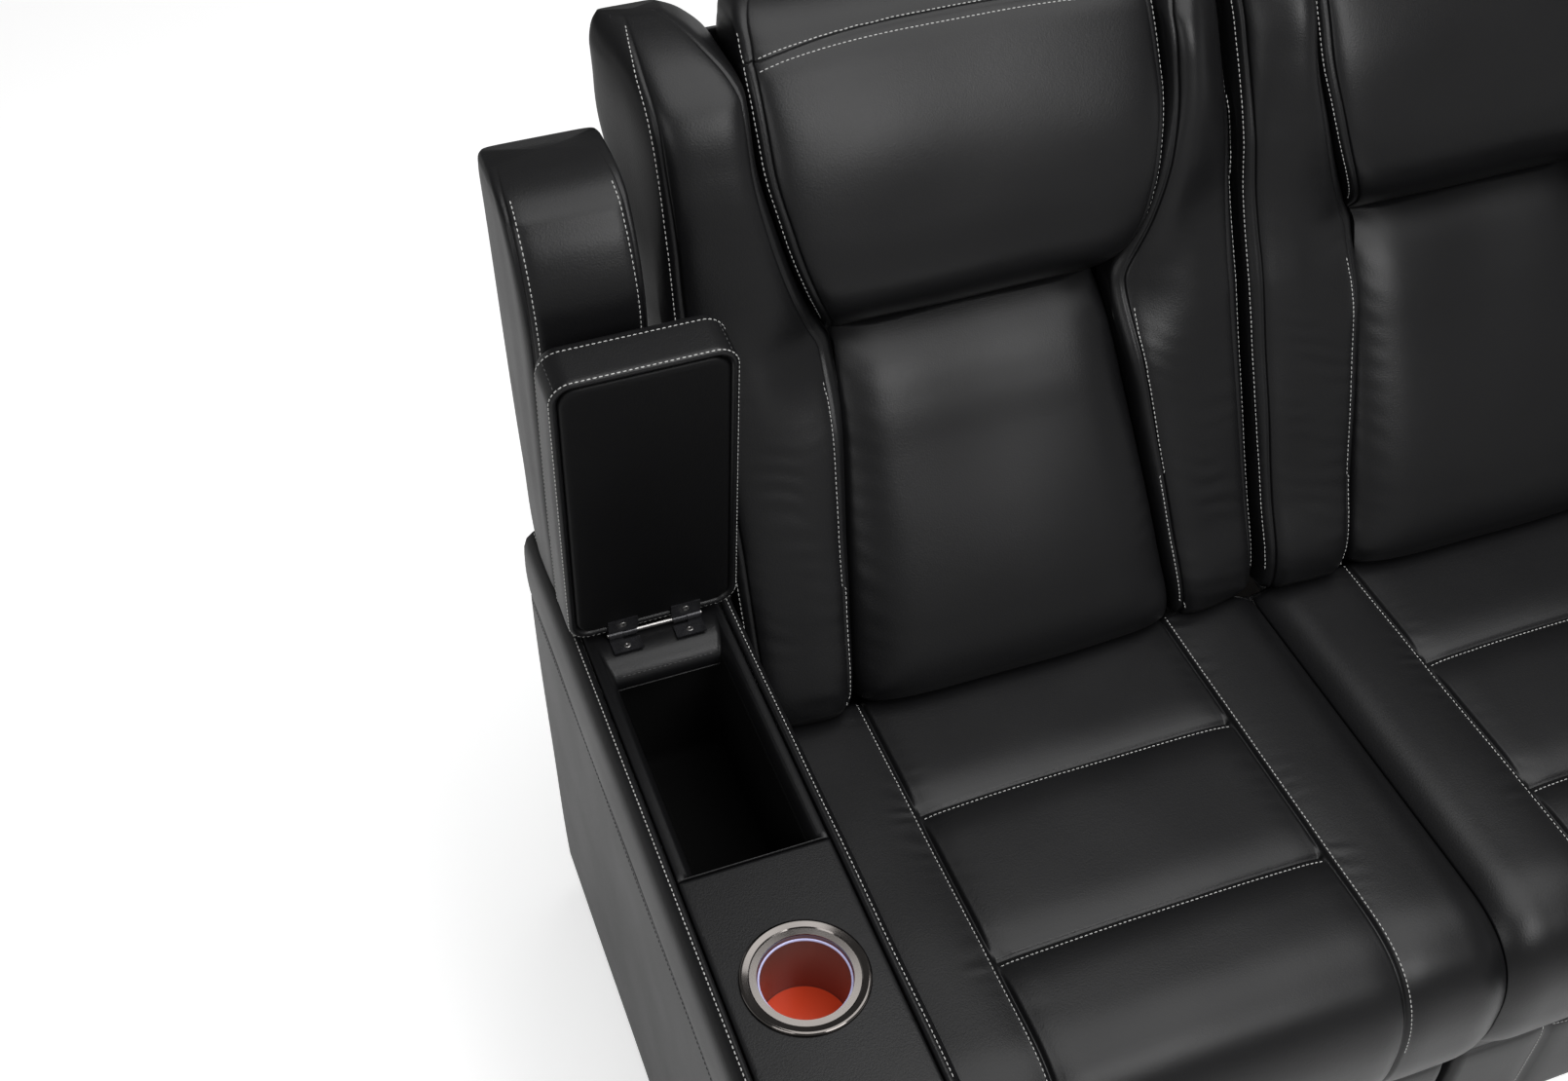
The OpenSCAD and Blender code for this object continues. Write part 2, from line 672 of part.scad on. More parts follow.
module seat_frame_1() {
    g = joint_gap;
    x1 = plate_x + plate_t;
    lug = pivot_d / 2 + 10;
    outline = [[plate_y0, frame_top], [plate_y0, frame_top - 40], [crank_y - 30, crank_z - 15],
        [crank_y - 10, runner_z - 10], [640, runner_z - 10], [640, pivot_z - lug - 10],
        [pivot_y + lug, pivot_z - lug], [pivot_y + lug, pivot_z + lug], [600, frame_top]];
    color(steel) {
        both_sides() difference() {
            side_plate(plate_x, plate_t, outline);
            pin_x(plate_x - 1, x1 + 1, crank_y, crank_z, tube_d + 2 * pin_clear);
        }
        both_sides() {
            pin_x(x1 + g, arm_in_x - 2, pivot_y, pivot_z, pivot_d + 12);
            pin_x(arm_in_x - 2 + g, arm_in_x + back_arm_t + 2, pivot_y, pivot_z, pivot_d);
            block([x1 + g, 270, runner_z - 12], [rail_x - track_t - 1, 634, runner_z + 12]);
        }
        for (q = [[plate_y0, 30], [crank_y + 5, 24], [560, 30]])
            block([-plate_x + g, q[0], frame_top - 24], [plate_x - g, q[0] + q[1], frame_top]);
        block([-plate_x + g, rod_y0 - 40, 130], [plate_x - g, rod_y0, 170]);
    }
}

motor_z = 150;

module recline_motor_1() {
    bore = 16 + 2 * 0.1;
    color(black_plastic) seat(1) difference() {
        union() {
            block([-32, motor_y0 + 40, motor_z - 49], [32, motor_y0 + 150, motor_z - 14]);
            translate([0, motor_y0, motor_z]) rotate([-90, 0, 0]) cylinder(h = motor_y1 - motor_y0, d = 34);
        }
        translate([0, motor_y0 - 1, motor_z]) rotate([-90, 0, 0])
            cylinder(h = motor_y1 - motor_y0 - 9, d = bore);
    }
    color(black_plastic) seat(1)
        block([-30, motor_y1 + joint_gap, rail_z + 40 + soft_gap], [30, base_rear - 2, motor_z + 20]);
}

module recline_rod_1() {
    color("silver") seat(1) translate([0, rod_y0 + joint_gap, motor_z]) rotate([-90, 0, 0])
        cylinder(h = 230, d = 16);
}

module footrest_motor_1() {
    color(black_plastic) seat(1) difference() {
        block([50, crank_y - 28, crank_z - 26], [130, crank_y + 42, frame_top - 24 - soft_gap]);
        pin_x(49, 131, crank_y, crank_z, tube_d + 2 * pin_clear);
    }
}

// A flat bar in the YZ plane with round ends, from a to b.
module bar(x0, t, a, b, w) {
    dir = atan2(b[1] - a[1], b[0] - a[0]);
    side_plate(x0, t, concat(
        [for (i = [0 : 12]) a + w / 2 * [cos(dir + 90 + 15 * i), sin(dir + 90 + 15 * i)]],
        [for (i = [0 : 12]) b + w / 2 * [cos(dir - 90 + 15 * i), sin(dir - 90 + 15 * i)]]));
}

module footrest_crank_1() {
    half = plate_x + plate_t + 5;
    color(steel) seat(1) {
        pin_x(-half, half, crank_y, crank_z, tube_d);
        both_sides() difference() {
            union() {
                bar(crank_x, bar_t, [crank_y, crank_z], [elbow_y, elbow_z], link_w);
                pin_x(crank_x, crank_x + bar_t, crank_y, crank_z, tube_d + 10);
            }
            pin_x(crank_x - 1, crank_x + bar_t + 1, crank_y, crank_z, tube_d + 2 * joint_gap);
            pin_x(crank_x - 1, crank_x + bar_t + 1, elbow_y, elbow_z, link_pin + 2 * pin_clear);
        }
    }
}

module footrest_links_1() {
    color(steel) seat(1) both_sides() {
        bar(link_x, bar_t, [elbow_y, elbow_z], [foot_y, foot_z], link_w);
        pin_x(link_x + 1, crank_x + bar_t + 2, elbow_y, elbow_z, link_pin);
        pin_x(lug_x - 2, link_x + 1, foot_y, foot_z, link_pin);
    }
}

module footrest_board_1() {
    back = foot_y - 20;
    half = seat_half - 3;
    color(timber) seat(1) block([-half, back - foot_board_t, foot_low], [half, back, foot_low + foot_h]);
    color(steel) seat(1) both_sides() difference() {
        union() {
            block([lug_x, back + joint_gap, foot_z - 16], [lug_x + bar_t, foot_y, foot_z + 16]);
            pin_x(lug_x, lug_x + bar_t, foot_y, foot_z, 26);
        }
        pin_x(lug_x - 1, lug_x + bar_t + 1, foot_y, foot_z, link_pin + 2 * pin_clear);
        block([lug_x - 1, back - 20, foot_z - 20], [lug_x + bar_t + 1, back + joint_gap, foot_z + 20]);
    }
}

// The padded front of a footrest or of a fixed seat, between two depths.
module front_pad(y0, y1, z0, z1) {
    half = seat_half - 2;
    levels = [[0, 8], [0.06, 2], [0.5, 0], [0.94, 2], [1, 8]];
    color(leather) pillow([for (s = levels)
        [z0 + s[0] * (z1 - z0), y0 + s[1], y1, -half + s[1] / 2, half - s[1] / 2]], 24, 9);
}

module power_inlet() {
    color(black_plastic) seat(1) translate([-190, base_rear + 12 + joint_gap, 120]) difference() {
        block([-17, 0, -14], [17, 12, 14]);
        block([-12, 2, -9], [12, 13, 9]);
    }
}

// Fixed seat and chaise

// Timber box of a fixed seat, from front to rear, with cross boards.
module fixed_rails(front, cross, right_end) {
    g = joint_gap;
    half = seat_half - 1;
    color(timber) {
        both_sides() {
            block([rail_x, front, rail_z], [rail_x + rail_w, cross_y1 + 30, frame_top]);
            block([rail_x, cross_y1 + 30 + g, rail_z], [rail_x + rail_w, base_rear, rail_z + rail_h]);
        }
        for (y = cross)
            block([-rail_x + g, y, frame_top - 60], [rail_x - g, y + 30, frame_top]);
        block([-rail_x + g, base_rear - 40, rail_z], [rail_x - g, base_rear, rail_z + 40]);
        block([-half, base_rear + g, arm_clear], [half, base_rear + 12, rear_board_top]);
        joining_blocks(beside_seat, right_end);
    }
}

chaise_nose = -chaise_reach;
chaise_front = chaise_nose + nose_roll + soft_gap;

module chaise_panels() {
    half = seat_half - 1;
    t = half - rail_x - rail_w - joint_gap;
    z1 = frame_top - 1;
    color(leather_side) seat(3) {
        block([-half, chaise_front + soft_gap, arm_clear], [-half + t, rail_y0 - 5, z1]);
        block([half - t, chaise_front + soft_gap, arm_clear], [half, -2, z1]);
        front_pad(chaise_nose + 28, chaise_front, arm_clear, nose_low - 2);
    }
}

module feet() {
    h = rail_z - soft_gap;
    foot_x = rail_x + rail_w - foot_d / 2 - 1;
    color(black_plastic) {
        for (k = [1 : 3], s = [-1, 1], y = k == 3 ? [chaise_front + 50, 90, 750] : [200, 750])
            seat(k) translate([s * foot_x, y, 0]) cylinder(h = h, d = foot_d);
        for (y = [60, arm_d - 60]) {
            sofa() translate([arm_w / 2, y, 0]) cylinder(h = h, d = foot_d);
            right_side() translate([arm_w / 2, y, 0]) cylinder(h = h, d = foot_d);
        }
    }
}

sofa() arm_frame(true);  // arm_frame_left
sofa() arm_panels();  // arm_panels_left
sofa() arm_front();  // arm_front_left
sofa() arm_deck(true);  // arm_deck_left
sofa() wing();  // wing_left
sofa() well_liner();
cup_flange();
cup_body();
cup_mat();
lid_board();
lid_cushion();
hinge_leaves_arm();
hinge_leaves_lid();
hinge_rod();
switch_plate();
button(-1);  // recline_button
button(1);  // footrest_button
seat(1) base_rails_1();
seat(1) seat_frame_1();
seat(1) webbing(plate_x + plate_t, plate_y0 + 20, 590);  // seat_webbing_1
seat(1) seat_cushion(nose_y, 2);  // seat_cushion_1
footrest_crank_1();
footrest_links_1();
footrest_board_1();
seat(1) front_pad(foot_front, foot_front + foot_pad_t, foot_low, foot_low + foot_h);  // footrest_pad_1
footrest_motor_1();
recline_motor_1();
recline_rod_1();
power_inlet();
seat(1) back_frame(false);  // back_frame_1
seat(1) back_cover();  // back_cover_1
seat(1) lumbar_cushion();  // lumbar_cushion_1
seat(1) bolsters(13, 0);  // bolsters_1
seat(1) headrest();  // headrest_1
seat(2) fixed_rails(rail_y0, [rail_y0, cross_y1], beside_seat);  // base_rails_2
seat(2) webbing(rail_x + rail_w, rail_y0 + 35, cross_y1 - 10);  // seat_webbing_2
seat(2) seat_cushion(nose_y, 2);  // seat_cushion_2
seat(2) front_pad(foot_front, rail_y0 - soft_gap, foot_low, foot_low + foot_h);  // front_panel_2
seat(2) back_frame(true);  // back_frame_2
seat(2) back_cover();  // back_cover_2
seat(2) lumbar_cushion();  // lumbar_cushion_2
seat(2) bolsters(0, 0);  // bolsters_2
seat(2) headrest();  // headrest_2
seat(3) fixed_rails(chaise_front, [chaise_front, 0, cross_y1], beside_arm);  // chaise_rails
chaise_panels();
seat(3) webbing(rail_x + rail_w, chaise_front + 40, cross_y1 - 10);  // chaise_webbing
seat(3) seat_cushion(chaise_nose, 6);  // chaise_cushion
seat(3) back_frame(true);  // back_frame_3
seat(3) back_cover();  // back_cover_3
seat(3) lumbar_cushion();  // lumbar_cushion_3
seat(3) bolsters(0, 13);  // bolsters_3
seat(3) headrest();  // headrest_3
right_side() arm_frame(false);  // arm_frame_right
right_side() arm_panels();  // arm_panels_right
right_side() arm_front();  // arm_front_right
right_side() arm_deck(false);  // arm_deck_right
right_side() wing();  // wing_right
feet();
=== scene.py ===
# %% [markdown]
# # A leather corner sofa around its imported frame
# The frame is the rigid inside of the sofa: timber, steel, motors and hinge, with plain solids where
# the padding goes. This lesson dresses it. Every cover is a surface worked out with numpy, in metres,
# in the same place as the solid that it stands for.

# %% Load the frame and keep its box
import json
import math
import bpy
import numpy as np
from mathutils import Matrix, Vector
from mathutils.bvhtree import BVHTree


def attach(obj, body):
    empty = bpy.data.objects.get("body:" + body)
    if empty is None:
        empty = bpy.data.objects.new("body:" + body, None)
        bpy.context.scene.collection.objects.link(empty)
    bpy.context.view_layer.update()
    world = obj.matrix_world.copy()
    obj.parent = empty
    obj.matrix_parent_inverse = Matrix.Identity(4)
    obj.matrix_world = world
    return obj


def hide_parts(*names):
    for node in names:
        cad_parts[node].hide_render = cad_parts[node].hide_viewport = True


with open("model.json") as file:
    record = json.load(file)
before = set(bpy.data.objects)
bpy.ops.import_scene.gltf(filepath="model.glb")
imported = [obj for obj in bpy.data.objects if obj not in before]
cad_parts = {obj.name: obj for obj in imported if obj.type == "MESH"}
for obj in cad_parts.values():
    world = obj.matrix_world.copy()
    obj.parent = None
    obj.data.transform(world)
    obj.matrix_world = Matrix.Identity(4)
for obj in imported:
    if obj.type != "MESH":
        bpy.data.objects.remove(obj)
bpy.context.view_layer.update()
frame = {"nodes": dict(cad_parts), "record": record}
scene = bpy.context.scene

# %% [markdown]
# ## The camera
# The picture looks down on the left end of the sofa from the front left. The camera stands 1.96 m
# high, turned 20 degrees to the right and tipped 45 degrees down, with a slightly long lens.

# %% Make the camera
lens_data = bpy.data.cameras.new("camera")
lens_data.lens = 42.39
lens_data.sensor_width = 36
camera = bpy.data.objects.new("camera", lens_data)
camera.location = (-1.3007, -0.7419, 1.9587)
camera.rotation_euler = (math.radians(45.35), 0, math.radians(-20.15))
scene.collection.objects.link(camera)
scene.camera = camera
scene.view_settings.view_transform = "Standard"
print("camera at", [round(v, 2) for v in camera.location])

# %% [markdown]
# ## Floor and light
# Dark leather is drawn mostly by what it mirrors: the outer side of the arm is pale because it
# mirrors a white floor at a flat angle, and a face that looks at its neighbour is nearly black.
# The room is white to the camera. In reflections it is pale at the horizon and dim overhead, so
# that the lamp above and the lamp in front give the cushions their soft bright crests.

# %% White room and soft lamps
ROOM_LIGHT, HORIZON, OVERHEAD = 0.10, 0.75, 0.20
world = bpy.data.worlds.new("room")
scene.world = world
world.use_nodes = True
tree = world.node_tree
room = tree.nodes["Background"]
room.inputs["Color"].default_value = (1, 1, 1, 1)


def add_node(tree, kind, settings=None, inputs=None, out=0):
    """Adds one node to a shader: its settings first, then the values or links of its inputs."""
    made = tree.nodes.new(kind)
    for name, value in (settings or {}).items():
        setattr(made, name, value)
    for key, value in (inputs or {}).items():
        if isinstance(value, bpy.types.NodeSocket):
            tree.links.new(value, made.inputs[key])
        else:
            made.inputs[key].default_value = value
    return made.outputs[out]


path = tree.nodes.new("ShaderNodeLightPath")
height = add_node(tree, "ShaderNodeSeparateXYZ", inputs={0: add_node(tree, "ShaderNodeTexCoord")}, out=2)
mirrored = add_node(tree, "ShaderNodeMapRange", {"interpolation_type": "SMOOTHSTEP"}, {
    "Value": height, "From Min": -0.05, "From Max": 0.35, "To Min": HORIZON, "To Max": OVERHEAD})
clear = add_node(tree, "ShaderNodeMath", {"operation": "MAXIMUM"},
                 {0: path.outputs["Is Glossy Ray"], 1: path.outputs["Is Transmission Ray"]})
lit = add_node(tree, "ShaderNodeMix", inputs={0: clear, 2: ROOM_LIGHT, 3: mirrored})
seen = add_node(tree, "ShaderNodeMix", inputs={0: path.outputs["Is Camera Ray"], 2: lit, 3: 1.0})
tree.links.new(seen, room.inputs["Strength"])


def soft_lamp(name, place, aim, size, power):
    """A square lamp that faces the point aim."""
    data = bpy.data.lights.new(name, "AREA")
    data.size = size
    data.energy = power
    lamp = bpy.data.objects.new(name, data)
    lamp.location = place
    lamp.rotation_euler = (Vector(aim) - Vector(place)).to_track_quat("-Z", "Y").to_euler()
    scene.collection.objects.link(lamp)
    return lamp


soft_lamp("lamp_above", (0.2, 0.0, 3.6), (0.0, 0.1, 0.5), 3.0, 112)
soft_lamp("lamp_front", (0.2, -2.3, 3.0), (-0.4, 0.4, 0.7), 1.5, 62)
soft_lamp("lamp_left", (-3.2, -1.6, 2.6), (-0.8, 0.0, 0.7), 1.4, 26)
print("lamps ready")

# %% [markdown]
# ## Shader maths in Python
# A pattern is easier to read as an expression than as a list of nodes. `Field` wraps a socket, and
# each operator adds the Math node that does it. `Finish` holds one material, and its `node` adds any
# other node.

# %% Field and Finish
class Field:
    """A number that varies over a surface: arithmetic on it adds Math nodes."""

    def __init__(self, finish, socket):
        self.finish, self.socket = finish, socket

    def _maths(self, operation, left, right):
        return self.finish.node("ShaderNodeMath", {"operation": operation}, {0: left, 1: right})

    def __add__(self, other): return self._maths("ADD", self, other)
    def __radd__(self, other): return self._maths("ADD", other, self)
    def __sub__(self, other): return self._maths("SUBTRACT", self, other)
    def __mul__(self, other): return self._maths("MULTIPLY", self, other)
    def __rmul__(self, other): return self._maths("MULTIPLY", other, self)
    def __truediv__(self, other): return self._maths("DIVIDE", self, other)


class Finish:
    """A material with one Principled shader and the nodes that feed it."""

    def __init__(self, name, **uniform):
        self.material = bpy.data.materials.new(name)
        self.material.use_nodes = True
        self.tree = self.material.node_tree
        self.shader = self.tree.nodes["Principled BSDF"]
        for socket, value in uniform.items():
            self.shader.inputs[socket.replace("_", " ")].default_value = value

    def node(self, kind, settings=None, inputs=None, out=0):
        """Adds one node; an input is a plain value or another field."""
        sources = {key: value.socket if isinstance(value, Field) else value
                   for key, value in (inputs or {}).items()}
        return Field(self, add_node(self.tree, kind, settings, sources, out))

    def feed(self, socket, field):
        self.tree.links.new(field.socket, self.shader.inputs[socket])

    def place(self, stretch=(1, 1, 1)):
        """The point on the object, stretched along each axis."""
        point = self.node("ShaderNodeTexCoord", out=3)
        return self.node("ShaderNodeMapping", inputs={"Vector": point, "Scale": stretch})

    def noise(self, scale, detail=2, stretch=(1, 1, 1)):
        return self.node("ShaderNodeTexNoise",
                         inputs={"Vector": self.place(stretch), "Scale": scale, "Detail": detail})

    def cells(self, scale):
        return self.node("ShaderNodeTexVoronoi", inputs={"Vector": self.place(), "Scale": scale})

    def blend(self, share, dark, light):
        """A colour between two colours, by a share from 0 to 1."""
        return self.node("ShaderNodeMix", {"data_type": "RGBA"},
                         {0: share, 6: (*dark, 1), 7: (*light, 1)}, out=2)

    def bump(self, height, strength, depth):
        return self.node("ShaderNodeBump", inputs={"Height": height, "Strength": strength,
                                                  "Distance": depth})


# %% [markdown]
# ## The finishes
# Corrected leather is smooth: a fine pebble about a millimetre across, a slow change in tone, and a
# satin gloss that varies a little where hands polish it. The same recipe with other numbers gives
# the lining, plastics and metals.

# %% Leather
def leather_finish(name, dark, light, gloss, shine=0.24):
    """Leather: pebble = cell distance and fine noise; gloss = base + slow noise."""
    skin = Finish(name, Specular_IOR_Level=shine)
    slow = skin.noise(4.0, 3)
    fine = skin.noise(420.0, 2)
    pebble = skin.cells(560.0)
    skin.feed("Base Color", skin.blend(slow * 0.7 + fine * 0.3, dark, light))
    skin.feed("Roughness", gloss + 0.10 * skin.noise(9.0, 2) + 0.05 * fine)
    height = pebble * 0.6 + fine * 0.5 + skin.noise(60.0, 2) * 0.8
    skin.feed("Normal", skin.bump(height, 0.5, 0.00022))
    return skin.material


leather = leather_finish("leather", (0.0032, 0.0032, 0.0035), (0.0062, 0.0062, 0.0067), 0.30)
# A duller copy of the leather for the lid's underside; its darker colour is painted shade for that
# front-facing panel.
leather_flat_shaded = leather_finish("leather_flat_shaded", (0.0018, 0.0018, 0.002), (0.0036, 0.0036, 0.0039), 0.40,
                              shine=0.12)
print("leather", leather.name, leather_flat_shaded.name)

# %% Metals, plastics, timber and thread
def plain_finish(name, dark, light, gloss, metal, scale, relief=0.2, stretch=(1, 1, 1), shine=0.5):
    """A finish with a two-tone noise, a slightly uneven gloss and a shallow relief."""
    made = Finish(name, Metallic=metal, Specular_IOR_Level=shine)
    grain = made.noise(scale, 4, stretch)
    made.feed("Base Color", made.blend(grain, dark, light))
    made.feed("Roughness", gloss + 0.12 * grain)
    made.feed("Normal", made.bump(grain, relief, 0.0002))
    return made.material


# Each row: dark and light tone, gloss, metal, scale, relief, stretch and shine.
PLAIN = {
    "powder_coat": ((0.020, 0.020, 0.021), (0.032, 0.032, 0.034), 0.34, 0.0, 260, 0.35),
    "dark_steel": ((0.016, 0.016, 0.018), (0.035, 0.035, 0.038), 0.22, 0.6, 160),
    "bright_steel": ((0.24, 0.235, 0.23), (0.34, 0.33, 0.32), 0.26, 1.0, 200, 0.15, (1, 8, 8)),
    "nickel": ((0.085, 0.078, 0.074), (0.13, 0.12, 0.113), 0.06, 1.0, 30, 0.05),
    "plastic": ((0.010, 0.010, 0.011), (0.020, 0.020, 0.022), 0.40, 0.0, 300),
    "button_metal": ((0.30, 0.29, 0.28), (0.42, 0.41, 0.40), 0.22, 1.0, 200),
    "lining": ((0.001, 0.001, 0.001), (0.003, 0.003, 0.003), 0.85, 0.0, 900, 0.6, (1, 1, 1), 0.08),
    "timber": ((0.008, 0.006, 0.0045), (0.030, 0.020, 0.012), 0.55, 0.0, 14, 0.4, (1, 9, 9), 0.3),
    "straps": ((0.05, 0.05, 0.055), (0.14, 0.14, 0.15), 0.8, 0.0, 700, 0.8),
    "thread": ((0.34, 0.34, 0.33), (0.50, 0.50, 0.49), 0.6, 0.0, 1500, 0.5),
    "thread_dark": ((0.020, 0.020, 0.021), (0.05, 0.05, 0.05), 0.6, 0.0, 1500, 0.5)}
plain = {name: plain_finish(name, *row) for name, row in PLAIN.items()}
print("plain finishes:", *plain)

# %% [markdown]
# ## The cup holder's colours
# The cup is a tinted shell, grey brown at the rim. Its glow, redder towards the lit orange disc below,
# is painted light from the disc. The tone follows height, so it is worked out from the object's own Z.

# %% Cup wall, disc and light ring
def cup_finish(name, low_colour, high_colour, z_low, z_high, glow=0.0):
    """Colour and glow slide from the low to the high colour between two heights."""
    made = Finish(name, Roughness=0.25, Emission_Strength=glow)
    point = made.node("ShaderNodeTexCoord", out=3)
    height = made.node("ShaderNodeSeparateXYZ", inputs={0: point}, out=2)
    share = (height - z_low) / (z_high - z_low)
    tone = made.blend(share + 0.06 * made.noise(40.0) - 0.03, low_colour, high_colour)
    made.feed("Base Color", tone)
    made.feed("Emission Color", tone)
    return made.material


# The wall's glow and its redder low part are painted light from the lit disc below.
cup_red = cup_finish("cup_red", (0.13, 0.020, 0.013), (0.085, 0.040, 0.034), 0.545, 0.612, 0.22)
cup_orange = cup_finish("cup_orange", (0.56, 0.048, 0.014), (0.62, 0.056, 0.018), 0.54, 0.55, 0.2)
ring_glow = cup_finish("ring_glow", (0.22, 0.22, 0.36), (0.42, 0.42, 0.62), 0.612, 0.622, 0.4)
print("cup finishes ready")

# %% [markdown]
# ## Places
# The pieces are easier to write in the sofa's own millimetres: x from the outer face of the left
# arm, y from the front of the arms, z from the floor. `at` turns them into metres in the frame.

# %% Sizes and places
ARM_W, ARM_D, DECK, ARM_GAP = 173.0, 788.0, 620.0, 6.0
PITCH, SEAT_H, TOP = 602.0, 450.0, 1118.0
SEAT_HALF, CREASE = 299.0, 803.0
TOTAL_W = 2 * (ARM_W + ARM_GAP) + 3 * PITCH
MIDDLE_Y = 150.0
SEAT_NOSE, CHAISE_FRONT = 67.0, -650.0
BACK_FOOT, SLOPE = 581.0, math.tan(math.radians(22))
SEATS = (1, 2, 3)
SIDES = ((-1, "left"), (1, "right"))


def at(x, y, z):
    """Metres in the frame from millimetres in the sofa."""
    place = np.broadcast_arrays((x - TOTAL_W / 2) / 1000, (y - MIDDLE_Y) / 1000, z / 1000)
    return np.stack(place, axis=-1)


def seat_x(k):
    """The middle of seat k."""
    return ARM_W + ARM_GAP + PITCH * (k - 0.5)


def back_y(z):
    """Front of the leaning back at a height."""
    return BACK_FOOT + SLOPE * (z - SEAT_H)


print("seats at", [seat_x(k) for k in SEATS])

# %% [markdown]
# ## Curves and ripples
# A shape is given by a few stations and a smooth curve through them. Leather over soft foam is never
# quite even, so a slow sum of sines moves each surface by a fraction of a millimetre, and a shorter
# one makes the puckers beside the seams.

# %% Smooth curves, bells and ripples
def through(stations, t):
    """Cubic curve through stations (parameter, values...); a slope is the mean of its two
    neighbours' slopes, and zero where the values turn back."""
    stations = np.asarray(stations, float)
    u, v = stations[:, 0], stations[:, 1:]
    slope = np.diff(v, axis=0) / np.diff(u)[:, None]
    tangent = np.vstack([slope[:1], (slope[1:] + slope[:-1]) / 2, slope[-1:]])
    tangent[1:-1][slope[1:] * slope[:-1] <= 0] = 0
    i = np.clip(np.searchsorted(u, t, side="right") - 1, 0, len(u) - 2)
    h = (u[i + 1] - u[i])[:, None]
    q = ((t - u[i]) / (u[i + 1] - u[i]))[:, None]
    return ((2 * q**3 - 3 * q**2 + 1) * v[i] + (q**3 - 2 * q**2 + q) * h * tangent[i]
            + (3 * q**2 - 2 * q**3) * v[i + 1] + (q**3 - q**2) * h * tangent[i + 1])


def bell(d, width):
    """One at d = 0, falling to nothing a little beyond width."""
    return np.exp(-(d / width) ** 2)


def step(low, high, v):
    """Zero below low, one above high, smooth between."""
    t = np.clip((v - low) / (high - low), 0, 1)
    return t * t * (3 - 2 * t)


def wander(a, b, size, seed):
    """Slow uneven waves about as long as size: six sines in seeded directions, within one."""
    rng = np.random.default_rng(seed)
    total = np.zeros(np.broadcast(a, b).shape)
    for _ in range(6):
        turn, phase, pace = rng.uniform(0, 2 * math.pi), rng.uniform(0, 2 * math.pi), rng.uniform(0.6, 1.6)
        along = a * math.cos(turn) + b * math.sin(turn)
        total = total + np.sin(along * pace * 2 * math.pi / size + phase)
    return total / 4


def puckers(along, across, pitch, seed):
    """Short ridges across a seam: a wave along it, bent and thinned by slower waves."""
    bent = along + 0.35 * pitch * wander(along, across, 5 * pitch, seed) + 0.25 * across
    thinned = np.clip(0.4 + wander(along, across, 4 * pitch, seed + 1), 0, 1)
    return np.sin(bent * 2 * math.pi / pitch) * thinned


def runs(*spans):
    """Positions over neighbouring spans (start, end, spacing), each end used once."""
    counts = [max(2, int(round(abs(b - a) / gap)) + 1) for a, b, gap in spans]
    parts = [np.linspace(a, b, count)[:-1] for (a, b, gap), count in zip(spans, counts)]
    return np.concatenate(parts + [[spans[-1][1]]])


print("curve helpers ready")

# %% [markdown]
# ## From grids to closed pieces
# A grid of points is only a sheet. `skin` closes a stack of rings with a fan at each end. `pad` lays
# one sheet over another and joins them at the rim, as a padded panel is sewn. Both check that the
# volume comes out positive, so that every face points outwards.

# %% Mesh helpers
NO_TRIANGLES = np.zeros((0, 3), int)
body_of = {}


def volume(points, triangles):
    """Six times the signed volume: the sum of a . (b x c)."""
    a, b, c = (points[triangles[:, k]] for k in range(3))
    return float(np.einsum("ij,ij->", a, np.cross(b, c)))


def piece(name, points, quads, triangles, body="root", finish=leather, nodes=(), fill=None, slot="leather"):
    """Puts points and faces into an object, turned outwards, on its body."""
    split = np.concatenate([triangles, quads[:, [0, 1, 2]], quads[:, [0, 2, 3]]])
    if volume(points - points.mean(axis=0), split) < 0:
        quads, triangles = quads[:, ::-1], triangles[:, ::-1]
    mesh = bpy.data.meshes.new(name)
    mesh.from_pydata(points.tolist(), [], quads.tolist() + triangles.tolist())
    mesh.polygons.foreach_set("use_smooth", [True] * len(mesh.polygons))
    mesh.materials.append(finish)
    thing = bpy.data.objects.new(name, mesh)
    scene.collection.objects.link(thing)
    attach(thing, body)
    body_of[name] = body
    if nodes:
        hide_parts(*nodes)
    print(name, len(split), "triangles")
    return thing


def grid_quads(index):
    """Faces between the neighbouring rows and columns of a grid of point numbers."""
    corners = index[:-1, :-1], index[1:, :-1], index[1:, 1:], index[:-1, 1:]
    return np.stack(corners, axis=-1).reshape(-1, 4)


def ring_quads(m, n, closed=False):
    """Faces between m neighbouring rings of n points; closed also joins the last to the first."""
    i = np.arange(m if closed else m - 1)[:, None]
    j = np.arange(n)[None, :]
    k, u = (j + 1) % n, (i + 1) % m
    return np.stack([i * n + j, i * n + k, u * n + k, u * n + j], axis=-1).reshape(-1, 4)


def skin(name, rings, ends=None, **rest):
    """A closed piece through rings (m, n, 3), with a fan of triangles at each end."""
    m, n = rings.shape[:2]
    first, last = ends if ends is not None else (rings[0].mean(axis=0), rings[-1].mean(axis=0))
    points = np.concatenate([rings.reshape(-1, 3), [first], [last]])
    j = np.arange(n)
    k = (j + 1) % n
    low = np.stack([np.full(n, m * n), k, j], axis=1)
    high = np.stack([np.full(n, m * n + 1), (m - 1) * n + j, (m - 1) * n + k], axis=1)
    return piece(name, points, ring_quads(m, n), np.concatenate([low, high]), **rest)


def loop_piece(name, rings, **rest):
    """A closed piece through rings (m, n, 3) of which the last joins the first."""
    quads = ring_quads(*rings.shape[:2], closed=True)
    return piece(name, rings.reshape(-1, 3), quads, NO_TRIANGLES, **rest)


def rim(length, radius, gap):
    """Positions along a padded panel: close together round both edges, then evenly spaced."""
    turn = radius * (1 - np.cos(np.linspace(0, math.pi / 2, 6)))
    count = max(2, int((length - 2 * radius) / gap))
    middle = np.linspace(radius, length - radius, count + 1)[1:-1]
    return np.concatenate([turn, middle, length - turn[::-1]])


